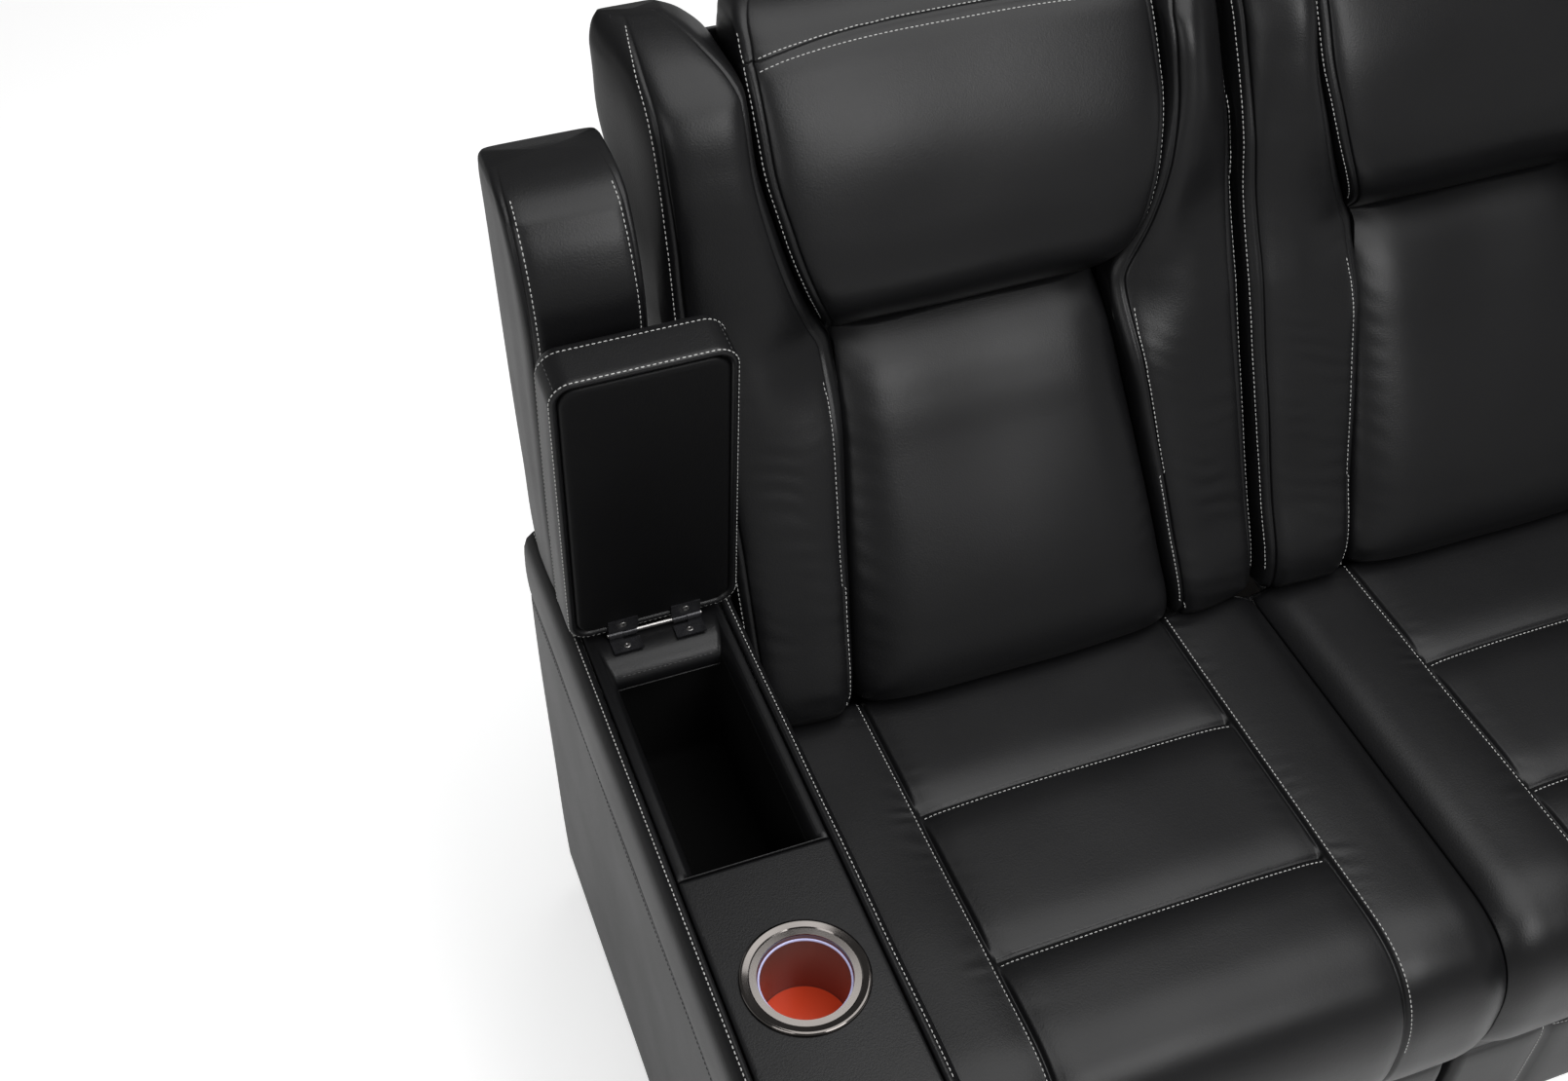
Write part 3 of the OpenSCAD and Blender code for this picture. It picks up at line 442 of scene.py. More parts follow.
def dome(d, length, radius):
    """Quarter round at both edges: the height share at distance d from the start."""
    near = np.clip(np.minimum(d, length - d) / radius, 0, 1)
    return np.sqrt(np.clip(1 - (1 - near) ** 2, 0, 1))


def arch(d):
    """Half a sine wave over the whole length of d."""
    return np.sin(math.pi * d / d[-1])


def sheet_normals(sheet):
    """Unit normals of a grid of points, from the cross product of its two directions."""
    across = np.cross(np.gradient(sheet, axis=0), np.gradient(sheet, axis=1))
    return across / np.maximum(np.linalg.norm(across, axis=-1, keepdims=True), 1e-12)


def pad(name, middle, up, down, **rest):
    """A panel about a middle sheet (m, n, 3): up and down are its heights, zero along the rim."""
    m, n = up.shape
    normal = sheet_normals(middle)
    top = middle + normal * up[..., None] / 1000
    bottom = middle - normal * down[..., None] / 1000
    index = np.arange(m * n).reshape(m, n)
    under = index + m * n
    rim_mask = np.ones((m, n), bool)
    rim_mask[1:-1, 1:-1] = False
    under[rim_mask] = index[rim_mask]
    quads = np.concatenate([grid_quads(index), grid_quads(under)[:, ::-1]])
    used, compact = np.unique(quads, return_inverse=True)
    points = np.concatenate([top.reshape(-1, 3), bottom.reshape(-1, 3)])[used]
    return piece(name, points, compact.reshape(-1, 4), NO_TRIANGLES, **rest)


print("mesh helpers ready")

# %% [markdown]
# ## Sewing
# The light grey thread is what the eye follows in this sofa, so the stitches are real: each one is a
# short rod, pressed half into the leather. A seam is given as a rough path, and every stitch looks
# up the nearest point of the finished cover, so it always lies on it.

# %% Stitch helper
STITCH_PITCH, STITCH_L, STITCH_R = 5.2, 3.7, 0.55
seam_rows = {}


def evenly(path, pitch):
    """Points at even spacing along a polyline."""
    length = np.concatenate([[0], np.cumsum(np.linalg.norm(np.diff(path, axis=0), axis=1))])
    count = max(2, int(length[-1] / pitch))
    s = (np.arange(count) + 0.5) * length[-1] / count
    return np.stack([np.interp(s, length, path[:, k]) for k in range(3)], axis=1)


def sew(cover, path, dark=False):
    """Adds a row of stitches along a path in metres, laid on the nearest part of a cover."""
    tree = BVHTree.FromObject(cover, bpy.context.evaluated_depsgraph_get())
    hits = [tree.find_nearest(Vector(point)) for point in evenly(path, STITCH_PITCH / 1000)]
    place = np.array([hit[0][:] for hit in hits])
    normal = np.array([hit[1][:] for hit in hits])
    way = np.gradient(place, axis=0)
    way = way - normal * np.einsum("ij,ij->i", way, normal)[:, None]
    way = way / np.maximum(np.linalg.norm(way, axis=1, keepdims=True), 1e-9)
    seam_rows.setdefault((body_of[cover.name], dark), []).append((place, way, normal))


def stitch_piece(body, dark):
    """One object of all the stitches on a body: each is a six sided rod with two pointed ends."""
    place, way, normal = (np.concatenate(parts) for parts in zip(*seam_rows[(body, dark)]))
    side = np.cross(normal, way)
    turn = np.arange(6)[:, None] * math.pi / 3
    ring = side[:, None] * np.cos(turn) + normal[:, None] * np.sin(turn) * 0.8
    place, way, normal = place[:, None], way[:, None] * STITCH_L / 2000, normal[:, None] * STITCH_R / 1000
    rings = [place + way * s + ring * r * STITCH_R / 1000 + normal * (0.75 * r - 0.45)
             for s, r in ((-0.8, 0.75), (-0.3, 1.0), (0.3, 1.0), (0.8, 0.75))]
    tips = [place + way * s - normal * 0.5 for s in (-1, 1)]
    points = np.concatenate(rings + tips, axis=1)
    count, per_stitch = points.shape[:2]
    j = np.arange(6)
    k = (j + 1) % 6
    ends = np.concatenate([np.stack([np.full(6, 24), k, j], 1),
                           np.stack([np.full(6, 25), 18 + j, 18 + k], 1)])
    shift = np.arange(count)[:, None, None] * per_stitch
    colour = "thread_dark" if dark else "thread"
    return piece(f"{colour}_{body}", points.reshape(-1, 3), (ring_quads(4, 6)[None] + shift).reshape(-1, 4),
                 (ends[None] + shift).reshape(-1, 3), body, plain[colour])


print("needle threaded")

# %% [markdown]
# ## Seat cushions
# One cushion is a long slice carried across the seat: along the top, round the nose, under it and
# back. The middle panel is sewn into channels, and two long seams divide it from the side strips. A
# subdivided box could give the rough shape, but a formula puts each seam exactly where it belongs.

# %% Seat top and slice
PANEL, CHANNEL_PITCH, CUSHION_T = 180.0, 184.0, 105.0
FIRST_CHANNEL, BESIDE_CHANNEL, NOSE_DEPTH, NOSE_DROP = 429.0, 12.0, 108.0, 115.0
SEAT_REAR, EDGE_W = 592.0, 46.0


def edge_share(x):
    """Zero on the seat, one at its very side."""
    return np.clip((np.abs(x) - SEAT_HALF + EDGE_W) / EDGE_W, 0, 1)


def channel_bend(x, k):
    """How far the seam of channel k strays from a straight line."""
    return 0.5 * wander(x, 0 * x, 240, 11 + k)


def seat_top(x, y, count):
    """Height of the seat: crest + crown across the middle panel - seam dips - channel dips - edge
    fall, with a groove in the bottom of each dip."""
    inside = step(-PANEL, -PANEL + 4, x) * step(-PANEL, -PANEL + 4, -x)
    seam = np.abs(np.abs(x) - PANEL)
    height = SEAT_H + inside * 4 * np.cos(np.pi * x / PANEL / 2) - 16 * edge_share(x) ** 2.6
    height = height - 2.2 * bell(seam, 16) - 4.2 * bell(seam, 2.2)
    height = height + 1.5 * bell(np.abs(x) - 232, 30)
    for k in range(count):
        gap = y - (FIRST_CHANNEL - k * CHANNEL_PITCH) + channel_bend(x, k)
        height = height - inside * (4.0 * bell(gap, 24) + 2.0 * bell(gap, 9) + 3.4 * bell(gap, 2.2))
    height = height + 0.35 * bell(seam - 14, 12) * puckers(y, x, 19, 21)
    return height + 0.7 * wander(x, y, 210, 31) * (1 - edge_share(x))


def flattened(v):
    """The nose's cosine and sine, raised to a power so that it is fuller than a circle."""
    return np.sign(v) * np.abs(v) ** 0.77


def seat_slice(x, nose, count):
    """Slices at all x: the outline in y and z, as two arrays (slices, points)."""
    middle = nose + NOSE_DEPTH
    ys = list(runs((SEAT_REAR - 2, 560, 3), (560, FIRST_CHANNEL + BESIDE_CHANNEL, 7)))
    for k in range(count):
        channel = FIRST_CHANNEL - k * CHANNEL_PITCH
        after = channel - CHANNEL_PITCH + BESIDE_CHANNEL
        after = max(after, middle) if k + 1 == count else after
        ys += list(runs((channel + BESIDE_CHANNEL, channel - BESIDE_CHANNEL, 1.6),
                        (channel - BESIDE_CHANNEL, after, 6)))[1:]
    xs = x[:, None]
    top_y = np.broadcast_to(np.array(ys), (len(x), len(ys)))
    top_z = seat_top(xs, top_y, count) - 6 * step(580, SEAT_REAR, top_y)
    turn = np.radians(runs((90, 206, 2.2)))[1:]
    reach = middle - (nose + 9 * edge_share(xs) ** 2.6)
    low = SEAT_H - NOSE_DROP
    crest = seat_top(xs, np.full_like(xs, middle), count)
    seam = np.abs(np.abs(xs) - PANEL)
    dent = 2.2 * bell(seam, 14) + 3.6 * bell(seam, 2.2)
    round_y = middle + reach * flattened(np.cos(turn)) + dent * np.sin(turn / 2)
    round_z = low + np.where(turn < math.pi, crest - low, NOSE_DROP) * flattened(np.sin(turn))
    base = SEAT_H - CUSHION_T
    tail = SEAT_REAR + np.where(np.abs(x) < SEAT_HALF - 34, 96.0, 0.0)
    under = [(nose + 52, SEAT_H - 180), (nose + 56, SEAT_H - 181), (nose + 62, base), (SEAT_REAR, base),
             (SEAT_REAR, base + 58), (tail, base + 61), (tail, base + 84), (SEAT_REAR, base + 87)]
    under_y, under_z = (np.stack([np.broadcast_to(point[i], len(x)) for point in under], 1) for i in (0, 1))
    return (np.concatenate([top_y, round_y, under_y], axis=1),
            np.concatenate([top_z, round_z, under_z], axis=1))


print("a slice of seat 1 has", seat_slice(np.zeros(1), SEAT_NOSE, 2)[0].size, "points")

# %% Three seat cushions
def seat_cushion(k, nose, count, body, node):
    """Slices from side to side; each end closes with slices drawn in towards one point."""
    half = runs((0, PANEL - 14, 9), (PANEL - 14, PANEL + 14, 1.4), (PANEL + 14, SEAT_HALF - EDGE_W, 7),
                (SEAT_HALF - EDGE_W, SEAT_HALF, 3.2))
    x = np.concatenate([-half[:0:-1], half])
    y, z = seat_slice(x, nose, count)
    cap_y, cap_z = nose + 45.0, SEAT_H - CUSHION_T + 20
    shrink = np.array([0.985, 0.955, 0.8, 0.4])[:, None]
    end_x = SEAT_HALF + np.array([0.9, 1.2, 1.2, 1.2])
    end_y, end_z = cap_y + (y[0] - cap_y) * shrink, cap_z + (z[0] - cap_z) * shrink
    all_x = np.concatenate([-end_x[::-1], x, end_x])
    all_y, all_z = np.concatenate([end_y[::-1], y, end_y]), np.concatenate([end_z[::-1], z, end_z])
    rings = at(seat_x(k) + all_x[:, None], all_y, all_z)
    centre = [at(seat_x(k) + s * (SEAT_HALF + 1.2), cap_y, cap_z) for s in (-1, 1)]
    return skin(f"seat_cover_{k}", rings, centre, body=body, nodes=(node,), fill=0.8)


# Each row: nose, number of channels, body and node of a seat's cushion.
CUSHIONS = ((SEAT_NOSE, 2, "seat_carriage", "seat_cushion_1"), (SEAT_NOSE, 2, "root", "seat_cushion_2"),
            (CHAISE_FRONT, 6, "root", "chaise_cushion"))
seats = [seat_cushion(k, *row) for k, row in zip(SEATS, CUSHIONS)]

# %% [markdown]
# ## Back cushions
# Lumbar cushion, side bolsters and headrest are upright pillows: each level is a rounded rectangle,
# and a smooth curve through a few levels gives its front, rear and sides. A second formula then
# moves the front face, for the crown, the pull of the seams and the puckers beside them.

# %% Pillow rings
REAR_POWER = 9.0


def box_curve(a, power):
    """A rounded rectangle at angles a: signed powers of cosine and sine, squarer in the rear half."""
    exponent = 2 / np.where(np.sin(a) > 0, REAR_POWER, power)
    return tuple(np.sign(v) * np.abs(v) ** exponent for v in (np.cos(a), np.sin(a)))


def oval(count, power, aspect, seams=()):
    """Directions round the outline, evenly spaced along it and closer together at each seam's angle.
    The trial angles a = t - sin(4t) / 4 crowd at the quarter turns, where the outline runs fastest."""
    t = np.linspace(0, 2 * math.pi, 6001)
    a = t - np.sin(4 * t) / 4
    ox, oy = box_curve(a, power)
    length = np.hypot(np.diff(ox) * aspect, np.diff(oy))
    for seam in seams:
        sx, sy = box_curve(seam, power)
        length = length * (1 + 2.6 * bell(np.hypot((ox[1:] - sx) * aspect, oy[1:] - sy), 0.10))
    total = np.concatenate([[0], np.cumsum(length)])
    return box_curve(np.interp((np.arange(count) + 0.5) / count * total[-1], total, a), power)


def pillow(stations, levels, count, power, seams=()):
    """Rings through stations (z, front, rear, left, right), with a sewn groove at each seam: a point
    within a few millimetres of the seam's angle moves towards the middle of its ring. Gives x, y, z,
    the face (one on the front, fading to zero at mid depth) and the limits of each level."""
    values = through(stations, levels)
    limits = front, rear, left, right = [values[:, k, None] for k in range(4)]
    aspect = float(np.median((right - left) / (rear - front)))
    ox, oy = oval(count, power, aspect, seams)
    half_x, half_y = (right - left) / 2, (rear - front) / 2
    x, y = (left + right) / 2 + half_x * ox, (front + rear) / 2 + half_y * oy
    for seam in seams:
        sx, sy = box_curve(seam, power)
        away = np.hypot(half_x * (ox - sx), half_y * (oy - sy))
        dip = 2.4 * bell(away, 1.9) + 1.2 * bell(away, 8)
        lean = math.hypot(sx, sy)
        x, y = x - dip * sx / lean, y - dip * sy / lean
    face = step(0.0, 0.55, ((front + rear) / 2 - y) / half_y)
    return x, y, levels[:, None], face, limits


def corner(stations, levels, seam, power, back=0.0):
    """The path of a seam of a pillow in millimetres, moved back along the side of the pillow."""
    front, rear, left, right = through(stations, levels).T
    sx, sy = box_curve(seam, power)
    x = (left + right) / 2 + (right - left) / 2 * (sx if back == 0 else np.sign(sx))
    return x, (front + rear) / 2 + (rear - front) / 2 * sy + back, levels


print("pillow helpers ready")

# %% Lumbar cushions
LUMBAR_LOW, LUMBAR_HIGH, LUMBAR_T, BOLSTER_LOW = 190.0, 151.0, 84.0, SEAT_H + 4
BACK_BODY = {1: "recliner_back", 2: "root", 3: "root"}


def lumbar_edge(share):
    """Half the lumbar cushion's width, at a share of its height."""
    return LUMBAR_LOW + (LUMBAR_HIGH - LUMBAR_LOW) * share


def lumbar_rings():
    """Front = leaning line + crown: fullest low in the middle, drawn in at all four seams."""
    top = CREASE - 0.3
    shape = [[0, -14, 20], [0.03, -26, 9], [0.08, -33, 3], [0.25, -31, 0], [0.5, -18, 0], [0.7, -3, 0],
             [0.82, 7, 0], [0.92, 22, 3], [1, 47, 12]]
    t, front, rear = np.transpose(shape)
    z = BOLSTER_LOW + t * (top - BOLSTER_LOW)
    w = lumbar_edge(t) - rear / 3
    stations = np.stack([z, back_y(z) + front, back_y(z) + LUMBAR_T - rear / 2, -w, w], axis=1)
    levels = runs((BOLSTER_LOW, BOLSTER_LOW + 20, 1.6), (BOLSTER_LOW + 20, CREASE - 30, 4.5),
                  (CREASE - 30, top, 2))
    x, y, z, face, limits = pillow(stations, levels, 240, 5.0)
    out = x / limits[3]
    hollow = 3.5 * bell(out, 0.5) * step(590, 740, z) - 5.0 * bell(z - 545, 85) * bell(out, 0.65)
    side_pull = 7.0 * step(0.55, 1.0, np.abs(out)) ** 2 * step(470, 520, z)
    edge = 0.35 * puckers(z, x, 23, 41) * step(0.70, 0.95, np.abs(out))
    return x, y + face * (hollow + side_pull + edge + 1.1 * wander(x, z, 230, 43)), z


def upright(name, shape, k, node, fill):
    """Places a pillow shape at seat k."""
    x, y, z = shape
    return skin(name, at(seat_x(k) + x, y, z), body=BACK_BODY[k], nodes=(node,), fill=fill)


lumbar_shape = lumbar_rings()
for k in SEATS:
    upright(f"lumbar_cover_{k}", lumbar_shape, k, f"lumbar_cushion_{k}", 0.75)

# %% Headrests
HEAD_HALF, HEAD_T, HEAD_SEAM = 213.0, 73.0, 1089.0
HEAD_POWER, HEAD_SEAMS = 7.0, (math.radians(210), math.radians(330))
BACK_TOP, COVER_LOW, COVER_TOP = 1000.0, 256.0, 1062.0


def cover_y(z):
    """The leaning rear cover, up to its top edge."""
    return 821.1 + 0.15 * (np.minimum(z, COVER_TOP) - COVER_LOW)


def cushion_rear(z, thickness):
    """Rear of a cushion: its own thickness low down, the rear cover above the steel frame."""
    share = step(BACK_TOP - 60, BACK_TOP + 4, z)
    return (back_y(z) + thickness) * (1 - share) + (cover_y(z) - 1) * share


def headrest_stations():
    """Front bulges over the crease, turns over at the top and runs back; the sides lean outwards."""
    shape = [[0, 52, 3, 0.02], [0.035, 36, 0, 0.10], [0.09, 12, 0, 0.22], [0.15, -7, 0, 0.36],
             [0.22, -19, 0, 0.52], [0.32, -26, 0, 0.70], [0.42, -28, 0, 0.83], [0.63, -25, 0, 1],
             [0.8, -10, 1, 1], [0.9, 6, 3, 0.97], [0.97, 32, 8, 0.86], [1, 64, 16, 0.6]]
    t, front, rear, wide = np.transpose(shape)
    z = CREASE + t * (TOP - CREASE)
    w = LUMBAR_HIGH + (HEAD_HALF - LUMBAR_HIGH) * wide
    return np.stack([z, back_y(z) + front, cushion_rear(z, HEAD_T) - rear, -w, w], axis=1)


def head_seam(x):
    """Height of the sewn line across the top: it sinks towards both ends."""
    return HEAD_SEAM - 17 * np.abs(x / HEAD_HALF) ** 3


def headrest_rings():
    """The pillow of the headrest, with the line across its top sewn in."""
    levels = runs((CREASE, CREASE + 24, 1.5), (CREASE + 24, TOP - 55, 4.0), (TOP - 55, TOP - 8, 1.2),
                  (TOP - 8, TOP, 0.7))
    x, y, z, face, _ = pillow(headrest_stations(), levels, 300, HEAD_POWER, HEAD_SEAMS)
    line = z - head_seam(x)
    return x, y + face * (3.0 * bell(line, 1.8) + 1.8 * bell(line, 9) + wander(x, z, 190, 53)), z


headrest_shape = headrest_rings()
headrests = {k: upright(f"headrest_cover_{k}", headrest_shape, k, f"headrest_{k}", 0.85) for k in SEATS}

# %% Bolsters
# EDGE_BACK says how far the outer front edge stands back, by height. The edges at the two ends of the
# sofa are END edges. Between two seats the one on the right of its seat is FREE, the other is CLOSE.
BOLSTER_POWER, END_FLARE, REAR_FLARE = 4.2, 13.0, 24.0
BOLSTER_TOP = CREASE + 0.955 * (TOP - CREASE)
FREE = [[SEAT_H, 12], [780, 12], [870, 20], [956, 35], [1040, 50], [TOP, 50]]
CLOSE = [[SEAT_H, 2], [784, 2], [921, 12], [1046, 34], [TOP, 34]]
END = [[SEAT_H, 4], [800, 6], [870, 10], [932, 6], [1017, 5], [TOP, 5]]
EDGE_BACK = {(1, -1): END, (1, 1): FREE, (2, -1): CLOSE, (2, 1): FREE, (3, -1): CLOSE, (3, 1): END}


def bolster_seams(side):
    """Angles of the two front corners: the outer one is sewn with a visible row."""
    return tuple(math.radians(270 + side * turn) for turn in (42, -42))


def bolster_stations(k, side):
    """Inner edge = edge of the lumbar cushion, then of the headrest; outer edge = side of the seat,
    flared out above the arm; front and rear lean with the back."""
    rise = TOP - CREASE
    shape = [[BOLSTER_LOW, -12, 0, 0, 7], [BOLSTER_LOW + 16, -24, 0, 0, 0], [SEAT_H + 110, -22, 0, 0, 0],
             [SEAT_H + 240, -14, 0, 0, 0], [CREASE, -9, 0.03, 0, 0], [CREASE + 0.09 * rise, -8, 0.24, 0, 0],
             [CREASE + 0.22 * rise, -9, 0.53, 0, 0], [CREASE + 0.42 * rise, -20, 0.84, 0, 0],
             [BACK_TOP + 3, -26, 1, 0, 0], [CREASE + 0.8 * rise, -20, 1, 0, 0],
             [CREASE + 0.86 * rise, -5, 1, 8, 0], [CREASE + 0.905 * rise, 15, 1, 22, 2],
             [CREASE + 0.935 * rise, 42, 1, 36, 6], [BOLSTER_TOP, 72, 1, 52, 12]]
    z, front, wide, inset, outset = np.transpose(shape)
    t = np.minimum(1, (z - BOLSTER_LOW) / (CREASE - BOLSTER_LOW))
    inner = lumbar_edge(t) + (HEAD_HALF - LUMBAR_HIGH) * wide + 0.3 + inset
    flare = END_FLARE * (EDGE_BACK[k, side] is END) * np.clip((z - CREASE + 43) / 90, 0, 1)
    outer = SEAT_HALF - 0.5 + flare - outset
    rear = cushion_rear(z, LUMBAR_T + 3.6 - 22 * t)
    return np.stack([z, back_y(z) + front, rear, *np.sort([side * inner, side * outer], axis=0)], axis=1)


def bolster_tuck(k, side, x, z, left, right):
    """How far the front moves back: pulled in beside the crease on its inner side, and by EDGE_BACK
    on its outer side."""
    share = (x - left) / (right - left)
    inner = share if side < 0 else 1 - share
    outer_back = np.interp(z, *np.transpose(EDGE_BACK[k, side]))
    return 26 * step(0.35, 1.0, inner) * bell(z - CREASE, 48) + outer_back * (1 - step(-0.1, 0.75, inner))


def bolster_rings(k, side, stations, seed):
    """A tall pillow whose front is lightly puckered where the leather is sewn short. The rear of an
    end bolster spreads outwards, to close up with the wing."""
    x, y, z, face, limits = pillow(stations, BOLSTER_LEVELS, 170, BOLSTER_POWER, bolster_seams(side))
    front, rear, left, right = limits
    share = (x - left) / (right - left)
    low_part = 1 - step(CREASE - 120, CREASE + 20, z)
    ridges = 0.42 * puckers(z, x, 21, seed) * (0.15 + 0.85 * low_part) * bell(share - 0.5, 0.42)
    tuck = bolster_tuck(k, side, x, z, left, right)
    y = y + face * (tuck + ridges + 1.4 * wander(x, z, 160, seed + 5))
    if EDGE_BACK[k, side] is END:
        rearward = step(-0.2, 1.0, (y - front) / (rear - front))
        outer_side = 1 - share if side < 0 else share
        x = x + side * REAR_FLARE * rearward * outer_side * step(640, 760, z)
    lifted = 1 - step(BOLSTER_LOW, BOLSTER_LOW + 60, z)
    return x, y, z - 15 * edge_share(x) ** 2.6 * lifted


def bolster_edge(k, side):
    """The path of the sewn outer edge of a bolster, moved back as its front is."""
    levels, stations = BOLSTER_LEVELS[12:-3], bolster_frames[k, side]
    x, y, z = corner(stations, levels, bolster_seams(side)[0], BOLSTER_POWER, 7.0)
    left, right = through(stations, levels)[:, 2:].T
    return x, y + bolster_tuck(k, side, x, z, left, right), z


BOLSTER_LEVELS = runs((BOLSTER_LOW, BOLSTER_LOW + 18, 1.8), (BOLSTER_LOW + 18, 1050, 4.0),
                      (1050, BOLSTER_TOP, 1.4))
bolsters, bolster_frames = {}, {}
for k in SEATS:
    for side, label in SIDES:
        bolster_frames[k, side] = bolster_stations(k, side)
        shape = bolster_rings(k, side, bolster_frames[k, side], 60 + 10 * k + side)
        bolsters[k, side] = upright(f"bolster_{label}_{k}", shape, k, f"bolsters_{k}", 0.8)

# %% [markdown]
# ## Arms
# Each arm is wrapped in separate leather panels. The outer side has a narrow upper band and a wide
# lower panel, the deck runs forward and rolls over the front, and the inner side faces the seat. A
# padded panel with rounded rims leaves a real groove at every seam.

# %% Panels round an arm
ARM_COVER_L, ARM_COVER_FRONT, ROLL = ARM_D - 8, 4.0, 60.0


def mirror_x(x, side):
    """The place of x on the left arm, or on the right arm where side is 1."""
    return x if side < 0 else TOTAL_W - x


def outward(sheet, aim):
    """One where the sheet's own normals already point along aim, minus one where they don't."""
    return 1 if float((sheet_normals(sheet) @ np.array(aim, float)).mean()) > 0 else -1


def panel(name, sheet, aim, u, v, edge, up, down, body, node, fill=0.4):
    """A padded panel on a sheet: it stands up along aim and down behind, with rims of radius edge."""
    height = dome(u, u[-1], edge)[:, None] * dome(v, v[-1], edge)[None, :]
    above, below = height * up, height * down
    if outward(sheet, aim) < 0:
        above, below = below, above
    return pad(name, sheet, above, below, body=body, nodes=(node,), fill=fill)


# Each section runs from the deck down the arm's side: distance, x and z.
OUTER = [[0, 14, 619.0], [7, 7.6, 616.4], [16, 2.8, 609], [40, 0.6, 585], [100, 0.2, 525],
         [300, 2.5, 325], [573, 4.0, 52]]
INNER = [[0, 159, 619.0], [7, 165.4, 616.4], [14, 168.6, 611], [40, 169.8, 585], [120, 170, 500],
         [573, 170, 52]]
arm_covers = {}


def side_panel(part, side, label, start, end, section, aim, lift, seed):
    """A long panel of the arm's side, between two distances down its section."""
    u, v = rim(ARM_COVER_L, 4.0, 12.0), rim(end - start, 4.0, 9.0)
    x, z = through(section, start + v).T
    front = ROLL - np.sqrt(np.clip(ROLL**2 - np.clip(z - (DECK - ROLL), 0, ROLL) ** 2, 0, None))
    y = ARM_COVER_FRONT + front + u[:, None] / u[-1] * (ARM_COVER_L - front)
    swell = 3.0 + lift * arch(v) ** 0.7 + 0.5 * wander(y, z, 260, seed)
    arm_covers[part, side] = panel(f"arm_{part}_{label}", at(mirror_x(x, side), y, z), (aim * side, 0, 0.2),
                                   u, v, 4.0, swell, 6.0, "root", f"arm_panels_{label}")


for side, label in SIDES:
    side_panel("band", side, label, 0, 92, OUTER, 1, 2.0, 71)
    side_panel("outer", side, label, 92, 565, OUTER, 1, 2.5, 73)
    side_panel("inner", side, label, 0, 565, INNER, -1, 0.6, 75)

# %% [markdown]
# ## Deck, cup hole and well border
# The deck is one strip of leather that runs forward and rolls down over the front of the arm. On
# the storage arm it has a round hole for the cup, so it is laid out in three parts: a long strip in
# front, a square patch whose rings change from the circle to the square, and a short strip behind.
# The padded border round the storage well is a stack of nested rectangles.

# %% Deck path and plain deck
DECK_X0, DECK_X1, DECK_RIM, SHEET_DEPTH, FRONT_L = 15.5, 157.5, 3.5, 3.0, 570.0
ABOVE, BELOW = (0, -0.5, 1), (0, 0.5, -1)


def deck_path(s):
    """y and z of the sheet after a distance s forward of where the roll starts."""
    radius = ROLL - SHEET_DEPTH
    turn = np.clip(s / radius, 0, math.pi / 2)
    down = np.clip(s - radius * math.pi / 2, 0, None)
    y = np.where(s < 0, ROLL - s, ROLL - radius * np.sin(turn))
    return y, np.where(s < 0, DECK - SHEET_DEPTH, DECK - ROLL + radius * np.cos(turn) - down)


def deck_crown(x, y, z):
    """How far the padding stands over the sheet: a little more in the middle of the deck."""
    middle = np.sin(math.pi * np.clip((x - DECK_X0) / (DECK_X1 - DECK_X0), 0, 1))
    return SHEET_DEPTH + 0.8 * middle + 0.25 * wander(x, y + z, 200, 81)


def deck_strip(s, side, ends):
    """Top and bottom points of a strip of deck; ends says which of its two ends are closed."""
    x = (DECK_X0 + deck_u)[:, None]
    y, z = deck_path(s)
    along = np.abs(s - s[0])
    height = dome(deck_u, deck_u[-1], DECK_RIM)[:, None] * np.ones(len(s))
    for closed, distance in zip(ends, (along, along[-1] - along)):
        if closed:
            height = height * dome(distance, 2 * along[-1], DECK_RIM)
    sheet = at(mirror_x(x, side), y, z)
    normal = sheet_normals(sheet) * outward(sheet, ABOVE)
    return (sheet + normal * (height * deck_crown(x, y, z))[..., None] / 1000,
            sheet - normal * (height * 2 * SHEET_DEPTH)[..., None] / 1000)


def welded(name, sheets, **rest):
    """One closed piece from several (grid, direction it faces) whose borders share places: equal points
    are merged, faces that shrink to a line are dropped."""
    points, quads, start = [], [], 0
    for grid, aim in sheets:
        count = grid[..., 0].size
        faces = grid_quads(np.arange(start, start + count).reshape(grid.shape[:2]))
        quads.append(faces if outward(grid, aim) > 0 else faces[:, ::-1])
        points.append(grid.reshape(-1, 3))
        start += count
    points, quads = np.concatenate(points), np.concatenate(quads)
    _, first, same = np.unique(np.round(points, 7), axis=0, return_index=True, return_inverse=True)
    quads = same.reshape(-1)[quads]
    whole = (np.diff(np.sort(quads, axis=1), axis=1) > 0).all(axis=1)
    halves = np.concatenate([quads[~whole][:, [0, 1, 2]], quads[~whole][:, [0, 2, 3]]])
    real = (np.diff(np.sort(halves, axis=1), axis=1) > 0).all(axis=1)
    return piece(name, points[first], quads[whole], halves[real], **rest)


deck_u = rim(DECK_X1 - DECK_X0, DECK_RIM, 5.0)
behind = ARM_D - ROLL - 4
whole = deck_strip(rim(FRONT_L + behind, DECK_RIM, 8.0) - behind, 1, (True, True))
welded("arm_deck_cover_right", zip(whole, (ABOVE, BELOW)), nodes=("arm_deck_right", "arm_front_right"),
       fill=0.3)

# %% Deck with the cup hole
CUP_X, CUP_Y, HOLE_R, PATCH, DECK_END = ARM_W / 2, 188.0, 45.0, 71.0, 315.0


